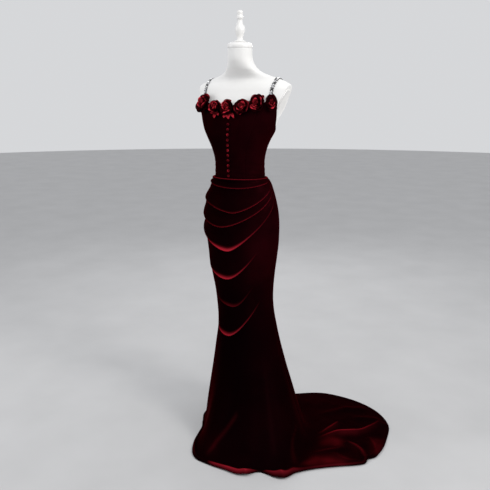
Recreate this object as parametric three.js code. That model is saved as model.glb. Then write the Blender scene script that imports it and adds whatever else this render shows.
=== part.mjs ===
// Velvet mermaid dress with a swept train, on a limbless dress form.
// Millimetres, +Z up, front towards -Y, the wearer's left towards +X.
// The origin is the middle of the stand's foot, on the floor.
import * as THREE from 'three';

// driving dimensions
const CLOTH = 2.4;              // velvet and lining together
const SEAM = 0.3;               // gap between two pieces at a seam
const SKIRT_SEAM = 0.6;
const FORM_INSET = 5.0;         // from the outside of the bodice to the form
const ROLL_RADIUS = 5.5;        // rolled top edge of the skirt
const ROLL_Z = 1077.5;
const ROLL_CLEAR = 0.95;        // from the bodice to the roll
const BODICE_BOTTOM_Z = 1066;
const PRINCESS_ANGLE = 38;      // seam between front and side front
const SIDE_LEFT = 96;           // side seam where the swags are gathered
const SIDE_RIGHT = -90;
const FLARE_Z = 365;            // the straight flare starts here
const FILLET_AT = 0.86;         // share of the flare where it turns onto the floor
const BUTTON_COUNT = 11;
const BUTTON_TOP_Z = 1292;
const BUTTON_LOW_Z = 1094;
const BUTTON_RADIUS = 6.5;
const BUTTON_HEIGHT = 5.5;
const STRAP_WIDTH = 13;
const STRAP_STONES = 20;
const ROSE_SHARE = 0.95;        // of the rose's full spread that is dense
const TORSO_BOTTOM_Z = 800;
const POLE_RADIUS = 12.5;
const BASE_RADIUS = 140;
const BASE_THICK = 8;
const HUB_RADIUS = 21;
const HUB_TOP_Z = 40;

// tables
function table(names, rows) {
  const out = {};
  names.forEach((name, i) => { out[name] = rows.map((row) => row[i]); });
  return out;
}

// body with the bodice on: half width, depth in front and behind, shift to the back
const BODY = table(['z', 'half_width', 'front', 'back', 'set'], [
  [780, 137, 96, 96, 4],
  [840, 148, 101, 102, 3],
  [910, 155, 104, 108, 1],
  [985, 149, 100, 104, 0],
  [1030, 130, 93, 94, 0],
  [1060, 110, 86.5, 85, 0],
  [1108, 104.5, 85, 82, 0],
  [1133, 103, 85, 82, 0],
  [1157, 104.5, 86, 83, 0],
  [1180, 108.5, 86.5, 86, 0],
  [1204, 116, 84.5, 91, 0],
  [1228, 127, 83, 97, 0],
  [1251, 140.5, 81, 104, 0],
  [1275, 153.5, 79.5, 110, 0],
  [1300, 163.5, 79, 114, 0],
  [1320, 171, 79, 114, 2],
  [1350, 184, 78, 111, 6],
  [1380, 199, 74, 103, 16],
  [1410, 211, 67, 94, 26],
  [1430, 212, 60, 85, 31],
  [1443, 199, 53, 76, 34],
  [1453, 178, 46, 67, 36],
  [1464, 150, 41, 60, 36],
  [1475, 113, 39, 57, 31],
  [1487, 84, 40.5, 57, 23],
  [1501, 66, 44, 56, 13],
  [1525, 52, 47, 52, 4],
  [1577, 47.5, 47.5, 47.5, 0],
]);
const BUST = { angle: 40, height: 27, z: 1262, spread_z: 60, spread_angle: 21, sideways: 0.5 };

// outside of the skirt above the flare: half width, front, back, lean towards the train
const SKIRT = table(['z', 'half_width', 'front', 'back', 'lean'], [
  [1083, 118, 93, 90, 0],
  [1060, 130, 98, 96, 3],
  [1035, 140, 101, 101, 3],
  [986, 156, 106, 109, 2],
  [911, 165, 112, 115, 4],
  [836, 162, 112, 113, 7],
  [760, 152, 109, 108, 8.5],
  [683, 140, 106, 102, 10.5],
  [605, 129, 102, 99, 15],
  [525, 126.5, 103, 100, 21],
  [445, 131, 112, 108, 30],
  [365, 144, 129, 123, 35],
  [335, 150, 136, 129, 37],
]);
const LEAN_TOWARDS = [0.857, 0.515];

// where the skirt meets the floor and where its hem lies, as radii from the stand
const HEM = table(['angle', 'contact', 'hem'], [
  [-90, 170, 185],
  [-60, 158, 166],
  [-40, 165, 178],
  [-25, 193, 222],
  [-15, 232, 268],
  [0, 292, 346],
  [10, 312, 363],
  [21, 338, 385],
  [33, 362, 421],
  [42, 366, 404],
  [50, 376, 468],
  [59, 371, 457],
  [69, 356, 477],
  [78, 338, 527],
  [86, 322, 594],
  [96, 305, 618],
  [108, 286, 630],
  [117, 272, 642],
  [126, 264, 630],
  [137, 253, 590],
  [148, 242, 530],
  [157, 236, 472],
  [167, 228, 374],
  [180, 218, 300],
  [210, 195, 226],
  [240, 175, 199],
  [270, 170, 185],
]);

// swags from hip to hip: height at the left seam, lowest point, height at the right seam,
// how round the turn is, how proud the lip is, and between which angles it shows
const SWAGS = [
  {
    left: 1069, low: 1044, at: 9, right: 1068, round_left: 0.5, round_right: 0.5, proud: 6,
    from: [-90, -74], to: [80, 96],
  },
  {
    left: 1052, low: 949, at: 8, right: 1013, round_left: 0.15, round_right: 0.12, proud: 7.5,
    from: [-90, -74], to: [80, 96],
  },
  {
    left: 1035, low: 888, at: -14, right: 950, round_left: 0.3, round_right: 0.3, proud: 7.5,
    from: [-90, -74], to: [80, 96],
  },
  {
    left: 1016, low: 794, at: -2, right: 895, round_left: 0.15, round_right: 0.3, proud: 10,
    from: [-90, -72], to: [78, 96],
  },
  {
    left: 980, low: 674, at: -8, right: 760, round_left: 0.45, round_right: 0.4, proud: 8,
    from: [-78, -45], to: [30, 62],
  },
  {
    left: 860, low: 556, at: 0, right: 640, round_left: 0.4, round_right: 0.4, proud: 4,
    from: [-60, -28], to: [18, 48],
  },
  {
    left: 687, low: 432, at: -13, right: 510, round_left: 0.2, round_right: 0.4, proud: 7.5,
    from: [-66, -38], to: [38, 70],
  },
];
const SWAG_DROP = 9;            // height in which a lip falls back to the next swag
const DRAPE_SINK = 4;
const SWAG_RISE_FROM = 0.4;     // share of the way down where a swag starts to stand off

// soft ridges of the cloth that lies on the floor: two ends, height, spread
const RIDGES = [
  { from: [303, 39], to: [386, 199], high: 14, spread: 15 },
  { from: [375, 97], to: [486, 249], high: 14, spread: 16 },
  { from: [320, 5], to: [414, 28], high: 9, spread: 13 },
  { from: [485, 70], to: [585, -3], high: 13, spread: 14 },
  { from: [205, -300], to: [236, -368], high: 12, spread: 14 },
  { from: [296, -240], to: [362, -302], high: 16, spread: 17 },
];

// height of the bodice's top edge round the body
const NECKLINE = table(['angle', 'z'], [
  [0, 1358], [15, 1363], [30, 1370], [50, 1380], [61, 1380], [75, 1338], [90, 1292], [110, 1262], [140, 1245],
  [180, 1240],
]);

// roses along the neckline: angle, height, spread to the sides and share by which it is taller than wide
const ROSES = [
  { angle: -41, z: 1366, radius: 30, tall: 1.15 },
  { angle: -20, z: 1354, radius: 24.5, tall: 1.08 },
  { angle: -3, z: 1354, radius: 23, tall: 1.1 },
  { angle: 17, z: 1356, radius: 25, tall: 1 },
  { angle: 34, z: 1368, radius: 24, tall: 1.3 },
  { angle: 53, z: 1374, radius: 21.5, tall: 1.3 },
];
// section of a rose: share of the radius and share of the height
const ROSE_PROFILE = [
  [0.60, 0.00], [0.92, 0.16], [1.00, 0.36], [0.86, 0.50], [0.76, 0.44], [0.70, 0.68],
  [0.50, 0.62], [0.44, 0.86], [0.24, 0.80], [0.16, 0.98],
];
const ROSE_HEIGHT = 1.15;       // of its radius
const ROSE_LIFT = 0.5;          // off the bodice, where it is sewn on

const COLOURS = {
  velvet: 0x3d0710, rose: 0x5c0c18, button: 0x4a0a14, crystal: 0xcfd4dc, form: 0xe9e7e3, steel: 0xd9d8d6,
};

// mathematics of the surfaces
const rad = THREE.MathUtils.degToRad;
const clamp = THREE.MathUtils.clamp;
const smooth = (a, b, x) => {
  const t = clamp((x - a) / (b - a), 0, 1);
  return t * t * (3 - 2 * t);
};

// smooth curve through the rows of a table
function along(xsGiven, ysGiven, x) {
  const flip = xsGiven[0] > xsGiven[xsGiven.length - 1];
  const xs = flip ? [...xsGiven].reverse() : xsGiven;
  const ys = flip ? [...ysGiven].reverse() : ysGiven;
  const n = xs.length;
  let i = 0;
  while (i < n - 2 && x >= xs[i + 1]) i += 1;
  const step = (k) => xs[k + 1] - xs[k];
  const rise = (k) => (ys[k + 1] - ys[k]) / step(k);
  const slope = (k) => {
    if (k === 0) return rise(0);
    if (k === n - 1) return rise(n - 2);
    return (rise(k - 1) * step(k) + rise(k) * step(k - 1)) / (step(k) + step(k - 1));
  };
  const h = step(i);
  const t = clamp((x - xs[i]) / h, 0, 1);
  const t2 = t * t;
  const t3 = t2 * t;
  return (2 * t3 - 3 * t2 + 1) * ys[i] + (t3 - 2 * t2 + t) * h * slope(i)
    + (-2 * t3 + 3 * t2) * ys[i + 1] + (t3 - t2) * h * slope(i + 1);
}

const wrap = (angle) => (angle < -90 ? angle + 360 : angle > 270 ? angle - 360 : angle);
const bell = (x) => Math.exp(-x * x / 2);

function bodyPoint(z, angle, inset = 0) {
  const s = Math.sin(rad(angle));
  const c = Math.cos(rad(angle));
  const half = along(BODY.z, BODY.half_width, z) - inset;
  const depth = along(BODY.z, c > 0 ? BODY.front : BODY.back, z) - inset;
  const a = ((angle + 180) % 360 + 360) % 360 - 180;
  const bust = BUST.height * bell((z - BUST.z) / BUST.spread_z)
    * (bell((a - BUST.angle) / BUST.spread_angle) + bell((a + BUST.angle) / BUST.spread_angle));
  return new THREE.Vector3(
    half * s + bust * s * BUST.sideways,
    -depth * c + along(BODY.z, BODY.set, z) - bust * Math.max(c, 0),
    z,
  );
}

function skirtRing(z, angle) {
  const s = Math.sin(rad(angle));
  const c = Math.cos(rad(angle));
  const lean = along(SKIRT.z, SKIRT.lean, z);
  return new THREE.Vector3(
    along(SKIRT.z, SKIRT.half_width, z) * s + lean * LEAN_TOWARDS[0],
    -along(SKIRT.z, c > 0 ? SKIRT.front : SKIRT.back, z) * c + lean * LEAN_TOWARDS[1],
    z,
  );
}

// outward direction of the skirt's ring, level
function ringOut(angle) {
  const s = Math.sin(rad(angle));
  const c = Math.cos(rad(angle));
  return new THREE.Vector3(s / 1.3, -c, 0).normalize();
}

function swagZ(swag, angle) {
  const side = angle > swag.at ? 'left' : 'right';
  const end = side === 'left' ? SIDE_LEFT : SIDE_RIGHT;
  const t = clamp((angle - swag.at) / (end - swag.at), 0, 1.05);
  const k = side === 'left' ? swag.round_left : swag.round_right;
  return swag.low + (swag[side] - swag.low) * (Math.hypot(t, k) - k) / (Math.hypot(1, k) - k);
}

function swagProud(swag, angle) {
  return swag.proud * smooth(swag.from[0], swag.from[1], angle) * (1 - smooth(swag.to[0], swag.to[1], angle));
}

// how far the draped front stands off the plain skirt
function drape(z, angle) {
  let above = ROLL_Z;
  let proudAbove = 0;
  for (const swag of SWAGS) {
    const here = swagZ(swag, angle);
    if (z >= here) {
      const span = above - here;
      const drop = Math.min(SWAG_DROP, 0.3 * span);
      const s = clamp((above - z) / span, 0, 1);
      const falls = proudAbove * 0.5 * (1 + Math.cos(Math.PI * clamp(s * span / drop, 0, 1)));
      return falls + swagProud(swag, angle) * smooth(SWAG_RISE_FROM, 1, s);
    }
    above = here;
    proudAbove = swagProud(swag, angle);
  }
  return proudAbove * 0.5 * (1 + Math.cos(Math.PI * clamp((above - z) / SWAG_DROP, 0, 1)));
}

function ridgeHeight(x, y) {
  let sum = 0;
  for (const r of RIDGES) {
    const dx = r.to[0] - r.from[0];
    const dy = r.to[1] - r.from[1];
    const t = clamp(((x - r.from[0]) * dx + (y - r.from[1]) * dy) / (dx * dx + dy * dy), 0, 1);
    sum += r.high * bell(Math.hypot(x - r.from[0] - t * dx, y - r.from[1] - t * dy) / r.spread);
  }
  return sum;
}

// a place on the flare: t runs from 0 at the top of the flare to 1 on the floor
function flarePoint(t, angle) {
  const top = skirtRing(FLARE_Z, angle);
  const lower = skirtRing(FLARE_Z - 20, angle);
  const r = along(HEM.angle, HEM.contact, wrap(angle));
  const rise = FLARE_Z - CLOTH;
  const out = (from, step, to) => {
    const straight = step * rise / 20;
    return from + straight * t + (to - from - straight) * t ** 1.7;
  };
  return new THREE.Vector3(
    out(top.x, lower.x - top.x, r * Math.sin(rad(angle))),
    out(top.y, lower.y - top.y, -r * Math.cos(rad(angle))),
    FLARE_Z - rise * t,
  );
}

// the turn onto the floor (turn 0 to 1), then the cloth on the floor (lie 0 to 1)
function floorPoint(turn, lie, angle) {
  const p0 = flarePoint(FILLET_AT, angle);
  const dt = 0.01;
  const q = flarePoint(FILLET_AT - dt, angle);
  const p1 = p0.clone().add(p0.clone().sub(q).multiplyScalar((p0.z - CLOTH) / (q.z - p0.z)));
  const r = along(HEM.angle, HEM.hem, wrap(angle));
  const hem = new THREE.Vector3(r * Math.sin(rad(angle)), -r * Math.cos(rad(angle)), CLOTH);
  const run = p1.distanceTo(hem);
  const p2 = p1.clone().lerp(hem, Math.min(45, 0.75 * run) / run);
  if (lie > 0) {
    const p = p2.clone().lerp(hem, lie);
    p.z += ridgeHeight(p.x, p.y) * smooth(0, 0.35, lie);
    return p;
  }
  const u = 1 - turn;
  return new THREE.Vector3(
    u * u * p0.x + 2 * u * turn * p1.x + turn * turn * p2.x,
    u * u * p0.y + 2 * u * turn * p1.y + turn * turn * p2.y,
    u * u * p0.z + 2 * u * turn * p1.z + turn * turn * p2.z,
  );
}

function rollPoint(turn, angle) {
  const base = bodyPoint(ROLL_Z, angle);
  const out = ringOut(angle);
  return base.addScaledVector(out, ROLL_CLEAR + ROLL_RADIUS + ROLL_RADIUS * Math.cos(rad(turn)))
    .add(new THREE.Vector3(0, 0, ROLL_RADIUS * Math.sin(rad(turn))));
}

// builders
function meshFrom(name, positions, index, colour, roughness, metalness = 0) {
  const geometry = new THREE.BufferGeometry();
  geometry.setAttribute('position', new THREE.Float32BufferAttribute(positions, 3));
  geometry.setIndex(index);
  geometry.computeVertexNormals();
  const look = { color: colour, roughness, metalness, side: THREE.DoubleSide };
  const mesh = new THREE.Mesh(geometry, new THREE.MeshStandardMaterial(look));
  mesh.name = name;
  return mesh;
}

// a wall of cloth: rows run downwards, angles run towards the wearer's left
function clothWall(name, rows, angles, seam = SEAM) {
  const outer = [];
  const inner = [];
  const R = rows.length;
  const C = angles.length;
  for (let i = 0; i < R; i += 1) {
    for (let j = 0; j < C; j += 1) {
      const a = angles[j];
      const p = rows[i](a);
      const u = rows[i](a + 0.4).sub(rows[i](a - 0.4)).normalize();
      const v = rows[Math.min(i + 1, R - 1)](a).sub(rows[Math.max(i - 1, 0)](a)).normalize();
      const n = v.clone().cross(u).normalize();
      if (j === 0) p.addScaledVector(u, seam / 2);
      if (j === C - 1) p.addScaledVector(u, -seam / 2);
      const q = p.clone().addScaledVector(n, -CLOTH);
      q.z = Math.max(q.z, 0);
      outer.push(p);
      inner.push(q);
    }
  }
  const positions = [];
  outer.concat(inner).forEach((p) => positions.push(p.x, p.y, p.z));
  const index = [];
  const o = (i, j) => i * C + j;
  const k = (i, j) => R * C + i * C + j;
  const quad = (a, b, c, d) => index.push(a, b, c, a, c, d);
  for (let i = 0; i < R - 1; i += 1) {
    for (let j = 0; j < C - 1; j += 1) {
      quad(o(i, j), o(i + 1, j), o(i + 1, j + 1), o(i, j + 1));
      quad(k(i, j), k(i, j + 1), k(i + 1, j + 1), k(i + 1, j));
    }
  }
  for (let j = 0; j < C - 1; j += 1) {
    quad(o(0, j), o(0, j + 1), k(0, j + 1), k(0, j));
    quad(o(R - 1, j), k(R - 1, j), k(R - 1, j + 1), o(R - 1, j + 1));
  }
  for (let i = 0; i < R - 1; i += 1) {
    quad(o(i, 0), k(i, 0), k(i + 1, 0), o(i + 1, 0));
    quad(o(i, C - 1), o(i + 1, C - 1), k(i + 1, C - 1), k(i, C - 1));
  }
  return meshFrom(name, positions, index, COLOURS.velvet, 0.85);
}

// a closed body from rings that run upwards, each with the same number of points
function closedRings(name, rings, bottom, top, colour, roughness, metalness = 0) {
  const n = rings[0].length;
  const positions = [];
  rings.forEach((ring) => ring.forEach((p) => positions.push(p.x, p.y, p.z)));
  const low = rings.length * n;
  positions.push(bottom.x, bottom.y, bottom.z, top.x, top.y, top.z);
  const index = [];
  for (let i = 0; i < rings.length - 1; i += 1) {
    for (let j = 0; j < n; j += 1) {
      const a = i * n + j;
      const b = i * n + (j + 1) % n;
      index.push(a, b, b + n, a, b + n, a + n);
    }
  }
  for (let j = 0; j < n; j += 1) {
    index.push(low, (j + 1) % n, j);
    index.push(low + 1, (rings.length - 1) * n + j, (rings.length - 1) * n + (j + 1) % n);
  }
  return meshFrom(name, positions, index, colour, roughness, metalness);
}

function lathe(name, profile, segments, colour, roughness, metalness = 0) {
  const geometry = new THREE.LatheGeometry(profile.map((p) => new THREE.Vector2(p[0], p[1])), segments);
  geometry.rotateX(Math.PI / 2);
  const look = { color: colour, roughness, metalness };
  const mesh = new THREE.Mesh(geometry, new THREE.MeshStandardMaterial(look));
  mesh.name = name;
  return mesh;
}

const dress = new THREE.Group();

// the dress form
const PLATE_LOW = { z: 1300, x: 155 };
const PLATE_HIGH = { z: 1440, x: 203 };
const PLATE_Z = 1368;
const PLATE_Y = 17;
const PLATE_LEAN = rad(15);
const PLATE_HALF_HEIGHT = 60;
const PLATE_HALF_WIDTH = 29;
const PLATE_THICK = 3;
const PLATE_SLOPE = (PLATE_HIGH.x - PLATE_LOW.x) / (PLATE_HIGH.z - PLATE_LOW.z);
const plateX = (z) => PLATE_LOW.x + PLATE_SLOPE * (z - PLATE_LOW.z);

const TORSO_ROWS = [
  TORSO_BOTTOM_Z, 850, 910, 960, 1005, 1040, 1064, 1090, 1120, 1150,
  1180, 1205, 1230, 1255, 1280, 1305, 1330, 1355,
  1380, 1400, 1418, 1430, 1440, 1448, 1456, 1464, 1472, 1480, 1490, 1503, 1525, 1577,
];
const TORSO_SIDES = 36;
const torsoRings = TORSO_ROWS.map((z) => {
  const inset = FORM_INSET * (1 - smooth(1375, 1460, z));
  return Array.from({ length: TORSO_SIDES }, (_, j) => {
    const p = bodyPoint(z, j * 360 / TORSO_SIDES, inset);
    if (z > 1290) p.x = clamp(p.x, -plateX(z), plateX(z));
    return p;
  });
});
const torso = closedRings(
  'form_torso',
  torsoRings,
  new THREE.Vector3(0, 0, TORSO_BOTTOM_Z),
  new THREE.Vector3(0, 0, 1577),
  COLOURS.form,
  0.7,
);
dress.add(torso);

// flat cover of an arm opening, on the slanted flat of the shoulder
function armPlate(name, side) {
  const tilt = Math.atan(PLATE_SLOPE);
  const out = new THREE.Vector3(side * Math.cos(tilt), 0, -Math.sin(tilt));
  const level = Math.cos(PLATE_LEAN);
  const up = new THREE.Vector3(side * Math.sin(tilt) * level, Math.sin(PLATE_LEAN), Math.cos(tilt) * level);
  const across = up.clone().cross(out).multiplyScalar(side);
  const centre = new THREE.Vector3(side * plateX(PLATE_Z), PLATE_Y, PLATE_Z);
  const ring = (share, lift) => Array.from({ length: 28 }, (_, j) => {
    const turn = side * j * 2 * Math.PI / 28;
    return centre.clone()
      .addScaledVector(out, lift)
      .addScaledVector(up, PLATE_HALF_HEIGHT * share * Math.cos(turn))
      .addScaledVector(across, -PLATE_HALF_WIDTH * share * Math.sin(turn));
  });
  const low = centre.clone().addScaledVector(out, SEAM);
  const high = centre.clone().addScaledVector(out, SEAM + PLATE_THICK);
  const rings = [ring(1, SEAM), ring(1, SEAM + PLATE_THICK - 1), ring(0.96, SEAM + PLATE_THICK)];
  return closedRings(name, rings, low, high, COLOURS.steel, 0.4);
}
dress.add(armPlate('form_arm_plate_left', 1));
dress.add(armPlate('form_arm_plate_right', -1));

dress.add(lathe('form_neck_cap', [
  [0, 1577 + SEAM], [50, 1577 + SEAM], [52, 1581], [52, 1588], [46, 1595], [30, 1600], [0, 1600],
], 28, COLOURS.steel, 0.35, 0.1));
dress.add(lathe('form_finial', [
  [0, 1600 + SEAM], [23, 1600 + SEAM], [23, 1604], [12, 1609], [10, 1613], [14, 1620], [19, 1631], [19, 1648],
  [15, 1660], [9, 1672], [6, 1683], [6, 1689], [10, 1697], [10, 1708], [6, 1715], [0, 1717],
], 20, COLOURS.steel, 0.35, 0.1));
dress.add(lathe('form_pole', [
  [0, HUB_TOP_Z + SEAM], [POLE_RADIUS, HUB_TOP_Z + SEAM],
  [POLE_RADIUS, TORSO_BOTTOM_Z - SEAM], [0, TORSO_BOTTOM_Z - SEAM],
], 20, COLOURS.steel, 0.35, 0.2));
dress.add(lathe('form_base', [
  [0, 0], [BASE_RADIUS, 0], [BASE_RADIUS, BASE_THICK - 2],
  [BASE_RADIUS - 2, BASE_THICK], [HUB_RADIUS, BASE_THICK],
  [HUB_RADIUS, HUB_TOP_Z - 2], [HUB_RADIUS - 2, HUB_TOP_Z], [0, HUB_TOP_Z],
], 40, COLOURS.steel, 0.35, 0.2));

// bodice
const BODICE_LEVELS = [0, 0.06, 0.14, 0.24, 0.34, 0.44, 0.54, 0.64, 0.74, 0.84, 0.92, 0.96, 1];
const necklineZ = (angle) => {
  const a = Math.abs(((angle + 180) % 360 + 360) % 360 - 180);
  return along(NECKLINE.angle, NECKLINE.z, a);
};
const bodiceRows = BODICE_LEVELS.map((s) => (angle) => {
  const top = necklineZ(angle);
  return bodyPoint(top + (BODICE_BOTTOM_Z - top) * s, angle);
});
const bodicePanels = [
  ['bodice_side_front_right', [-90, -80, -72, -64, -56, -47, PRINCESS_ANGLE * -1]],
  ['bodice_front_right', [-38, -29, -19, -9.5, 0]],
  ['bodice_front_left', [0, 9.5, 19, 29, 38]],
  ['bodice_side_front_left', [PRINCESS_ANGLE, 47, 56, 64, 72, 80, 90]],
  ['bodice_back_left', [90, 100, 110, 121, 132, 144, 156, 168, 180]],
  ['bodice_back_right', [180, 192, 204, 216, 228, 239, 250, 260, 270]],
];
for (const [name, angles] of bodicePanels) dress.add(clothWall(name, bodiceRows, angles));

// skirt
const rollRows = [180, 128, 72, 20].map((turn) => (angle) => rollPoint(turn, angle));
const flareRows = [0.28, 0.58].map((t) => (angle) => flarePoint(t, angle));
const floorRows = [
  (angle) => floorPoint(0, 0, angle),
  (angle) => floorPoint(0.5, 0, angle),
  (angle) => floorPoint(1, 0, angle),
  (angle) => floorPoint(1, 0.36, angle),
  (angle) => floorPoint(1, 0.7, angle),
  (angle) => floorPoint(1, 1, angle),
];
// the plain cloth between the lips lies a little nearer to the body
const sunkAcross = (angle) => smooth(-90, -76, angle) * (1 - smooth(82, SIDE_LEFT, angle));
const sunk = (z, angle) => DRAPE_SINK * sunkAcross(angle) * smooth(380, 520, z);
const draped = (z, angle) => {
  const out = drape(z, angle) - sunk(z, angle);
  return skirtRing(z, angle).addScaledVector(ringOut(angle), out);
};
const swagRows = [];
SWAGS.forEach((swag, n) => {
  const aboveZ = (angle) => (n === 0 ? ROLL_Z : swagZ(SWAGS[n - 1], angle));
  const dropOf = (angle) => {
    const next = n + 1 < SWAGS.length ? 0.3 * (swagZ(swag, angle) - swagZ(SWAGS[n + 1], angle)) : SWAG_DROP;
    return Math.min(SWAG_DROP, next);
  };
  swagRows.push((angle) => {
    const top = aboveZ(angle);
    return draped(top + (swagZ(swag, angle) - top) * 0.7, angle);
  });
  swagRows.push((angle) => draped(swagZ(swag, angle) + 0.01, angle));
  swagRows.push((angle) => draped(swagZ(swag, angle) - dropOf(angle), angle));
});
const lastSwag = SWAGS[SWAGS.length - 1];
const belowRows = [1 / 3, 2 / 3, 1].map((s) => (angle) => {
  const top = swagZ(lastSwag, angle) - SWAG_DROP;
  const z = top + (FLARE_Z - top) * s;
  return draped(z, angle);
});
const frontAngles = [
  -90, -83, -76, -68, -60, -51, -42, -33, -25, -17, -9, -1, 7, 15, 24, 33, 42, 50, 59, 68, 76, 83, 90, 96,
];
const skirtFront = [...rollRows, ...swagRows, ...belowRows, ...flareRows, ...floorRows];
dress.add(clothWall('skirt_front', skirtFront, frontAngles, SKIRT_SEAM));

const backLevels = [1064, 1035, 1000, 955, 905, 850, 785, 715, 640, 560, 475, 420, FLARE_Z];
const backRows = backLevels.map((z) => (angle) => skirtRing(z, angle));
const skirtBack = [...rollRows, ...backRows, ...flareRows, ...floorRows];
const backLeftAngles = [96, 102, 108, 113, 117, 121, 126, 132, 138, 145, 153, 161, 170, 180];
const backRightAngles = [180, 191, 202, 213, 224, 235, 246, 258, 270];
dress.add(clothWall('skirt_back_left', skirtBack, backLeftAngles, SKIRT_SEAM));
dress.add(clothWall('skirt_back_right', skirtBack, backRightAngles, SKIRT_SEAM));

// straps
torso.updateMatrixWorld();
const caster = new THREE.Raycaster();
// the strap's row and column neighbours, each a step along and a step across
const STRAP_NEIGHBOURS = [
  [-1, 0], [1, 0], [0, -1], [0, 1], [1, 1], [-1, -1], [1, -1], [-1, 1],
];
const STRAP = table(['turn', 'x'], [
  [0, 147], [20, 147], [60, 150], [90, 151], [120, 142], [150, 124], [180, 106], [225, 84],
]);
const STRAP_CENTRE = { y: 30, z: 1330 };
const STRAP_LIFT = 0.5;
const STRAP_END_GAP = 1.6;
const strapOuter = [];

function onTorso(x, turn) {
  const direction = new THREE.Vector3(0, -Math.cos(rad(turn)), Math.sin(rad(turn)));
  caster.set(new THREE.Vector3(x, STRAP_CENTRE.y, STRAP_CENTRE.z), direction);
  const hit = caster.intersectObject(torso)[0];
  return hit.point;
}

function strap(name, side) {
  const place = (turn, across) => onTorso(side * (along(STRAP.turn, STRAP.x, turn) + across), turn);
  const ends = [[0, 60], [250, 140]].map(([low, high]) => {
    let a = low;
    let b = high;
    for (let i = 0; i < 30; i += 1) {
      const m = (a + b) / 2;
      const clear = [-0.5, 0, 0.5].every((w) => {
        const p = place(m, w * STRAP_WIDTH);
        const depth = along(BODY.z, m < 90 ? BODY.front : BODY.back, p.z);
        const width = along(BODY.z, BODY.half_width, p.z);
        const angle = Math.atan2(p.x / width, -(p.y - along(BODY.z, BODY.set, p.z)) / depth);
        return p.z > necklineZ(angle * 180 / Math.PI) + STRAP_END_GAP;
      });
      if (clear) b = m;
      else a = m;
    }
    return b;
  });
  const steps = STRAP_STONES * 2;
  const stepTurn = (ends[1] - ends[0]) / steps;
  const across = [-0.5, -0.25, 0.25, 0.5];
  const rows = [];
  for (let i = 0; i <= steps; i += 1) {
    const turn = ends[0] + (ends[1] - ends[0]) * i / steps;
    const nearby = (w) => place(turn, w);
    rows.push(across.map((w, j) => {
      const p = nearby(w * STRAP_WIDTH);
      const fore = place(Math.min(turn + 1.5, ends[1]), w * STRAP_WIDTH);
      const back = place(Math.max(turn - 1.5, ends[0]), w * STRAP_WIDTH);
      const beside = place(turn, w * STRAP_WIDTH + 2).sub(place(turn, w * STRAP_WIDTH - 2));
      const n = fore.sub(back).cross(beside).normalize();
      const away = new THREE.Vector3(0, -Math.cos(rad(turn)), Math.sin(rad(turn)));
      if (n.dot(away) < 0) n.negate();
      const high = (j === 1 || j === 2) && i % 2 === 1 ? 3.4 : 2.0;
      // the form's shoulder rises between two rows of stones: clear it there too
      let bulge = 0;
      for (const [along1, across1] of STRAP_NEIGHBOURS) {
        const far = clamp(turn + along1 * stepTurn, ends[0], ends[1]);
        const wFar = across[clamp(j + across1, 0, across.length - 1)];
        const q = place(far, wFar * STRAP_WIDTH);
        for (const share of [0.2, 0.4, 0.6, 0.8]) {
          const between = place(turn + (far - turn) * share, (w + (wFar - w) * share) * STRAP_WIDTH);
          bulge = Math.max(bulge, between.sub(p.clone().lerp(q, share)).dot(n));
        }
      }
      const lift = STRAP_LIFT + 1.3 * bulge + (w > 0.4 ? 0.9 : 0);
      return { under: p.clone().addScaledVector(n, lift), over: p.clone().addScaledVector(n, lift + high) };
    }));
  }
  const R = rows.length;
  const C = across.length;
  const positions = [];
  rows.forEach((row) => row.forEach((v) => {
    positions.push(v.over.x, v.over.y, v.over.z);
    strapOuter.push(v.over);
  }));
  rows.forEach((row) => row.forEach((v) => positions.push(v.under.x, v.under.y, v.under.z)));
  const index = [];
  const o = (i, j) => i * C + j;
  const k = (i, j) => R * C + i * C + j;
  const quad = side > 0
    ? (a, b, c, d) => index.push(a, b, c, a, c, d)
    : (a, b, c, d) => index.push(a, c, b, a, d, c);
  for (let i = 0; i < R - 1; i += 1) {
    for (let j = 0; j < C - 1; j += 1) {
      quad(o(i, j), o(i, j + 1), o(i + 1, j + 1), o(i + 1, j));
      quad(k(i, j), k(i + 1, j), k(i + 1, j + 1), k(i, j + 1));
    }
  }
  for (let j = 0; j < C - 1; j += 1) {
    quad(o(0, j), k(0, j), k(0, j + 1), o(0, j + 1));
    quad(o(R - 1, j), o(R - 1, j + 1), k(R - 1, j + 1), k(R - 1, j));
  }
  for (let i = 0; i < R - 1; i += 1) {
    quad(o(i, 0), o(i + 1, 0), k(i + 1, 0), k(i, 0));
    quad(o(i, C - 1), k(i, C - 1), k(i + 1, C - 1), o(i + 1, C - 1));
  }
  return meshFrom(name, positions, index, COLOURS.crystal, 0.15, 0.4);
}
dress.add(strap('strap_left', 1));
dress.add(strap('strap_right', -1));

// roses and buttons, each seated on the bodice
// under(share) is the height of the piece's underside at that share of its radius
function seat(angle, z, radius, lift, tall = 1, under = () => 0) {
  const p = bodyPoint(z, angle);
  const u = bodyPoint(z, angle + 0.5).sub(bodyPoint(z, angle - 0.5));
  const v = bodyPoint(z - 2, angle).sub(bodyPoint(z + 2, angle));
  const n = v.clone().cross(u).normalize();
  const up = v.addScaledVector(n, -v.dot(n)).normalize();
  let high = 0;
  const test = (q) => {
    const d = q.clone().sub(p);
    const h = d.dot(n);
    d.addScaledVector(n, -h);
    d.addScaledVector(up, d.dot(up) * (1 / tall - 1));
    const share = d.length() / radius;
    if (share < 1 && h < 15) high = Math.max(high, h - under(share));
  };
  for (let a = -24; a <= 24; a += 1) {
    for (let dz = -36; dz <= 36; dz += 2) test(bodyPoint(z + dz, angle + a));
  }
  strapOuter.forEach(test);
  return { point: p.addScaledVector(n, high + lift), normal: n };
}

function place(mesh, at) {
  mesh.position.copy(at.point);
  mesh.quaternion.setFromUnitVectors(new THREE.Vector3(0, 0, 1), at.normal);
  return mesh;
}

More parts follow.
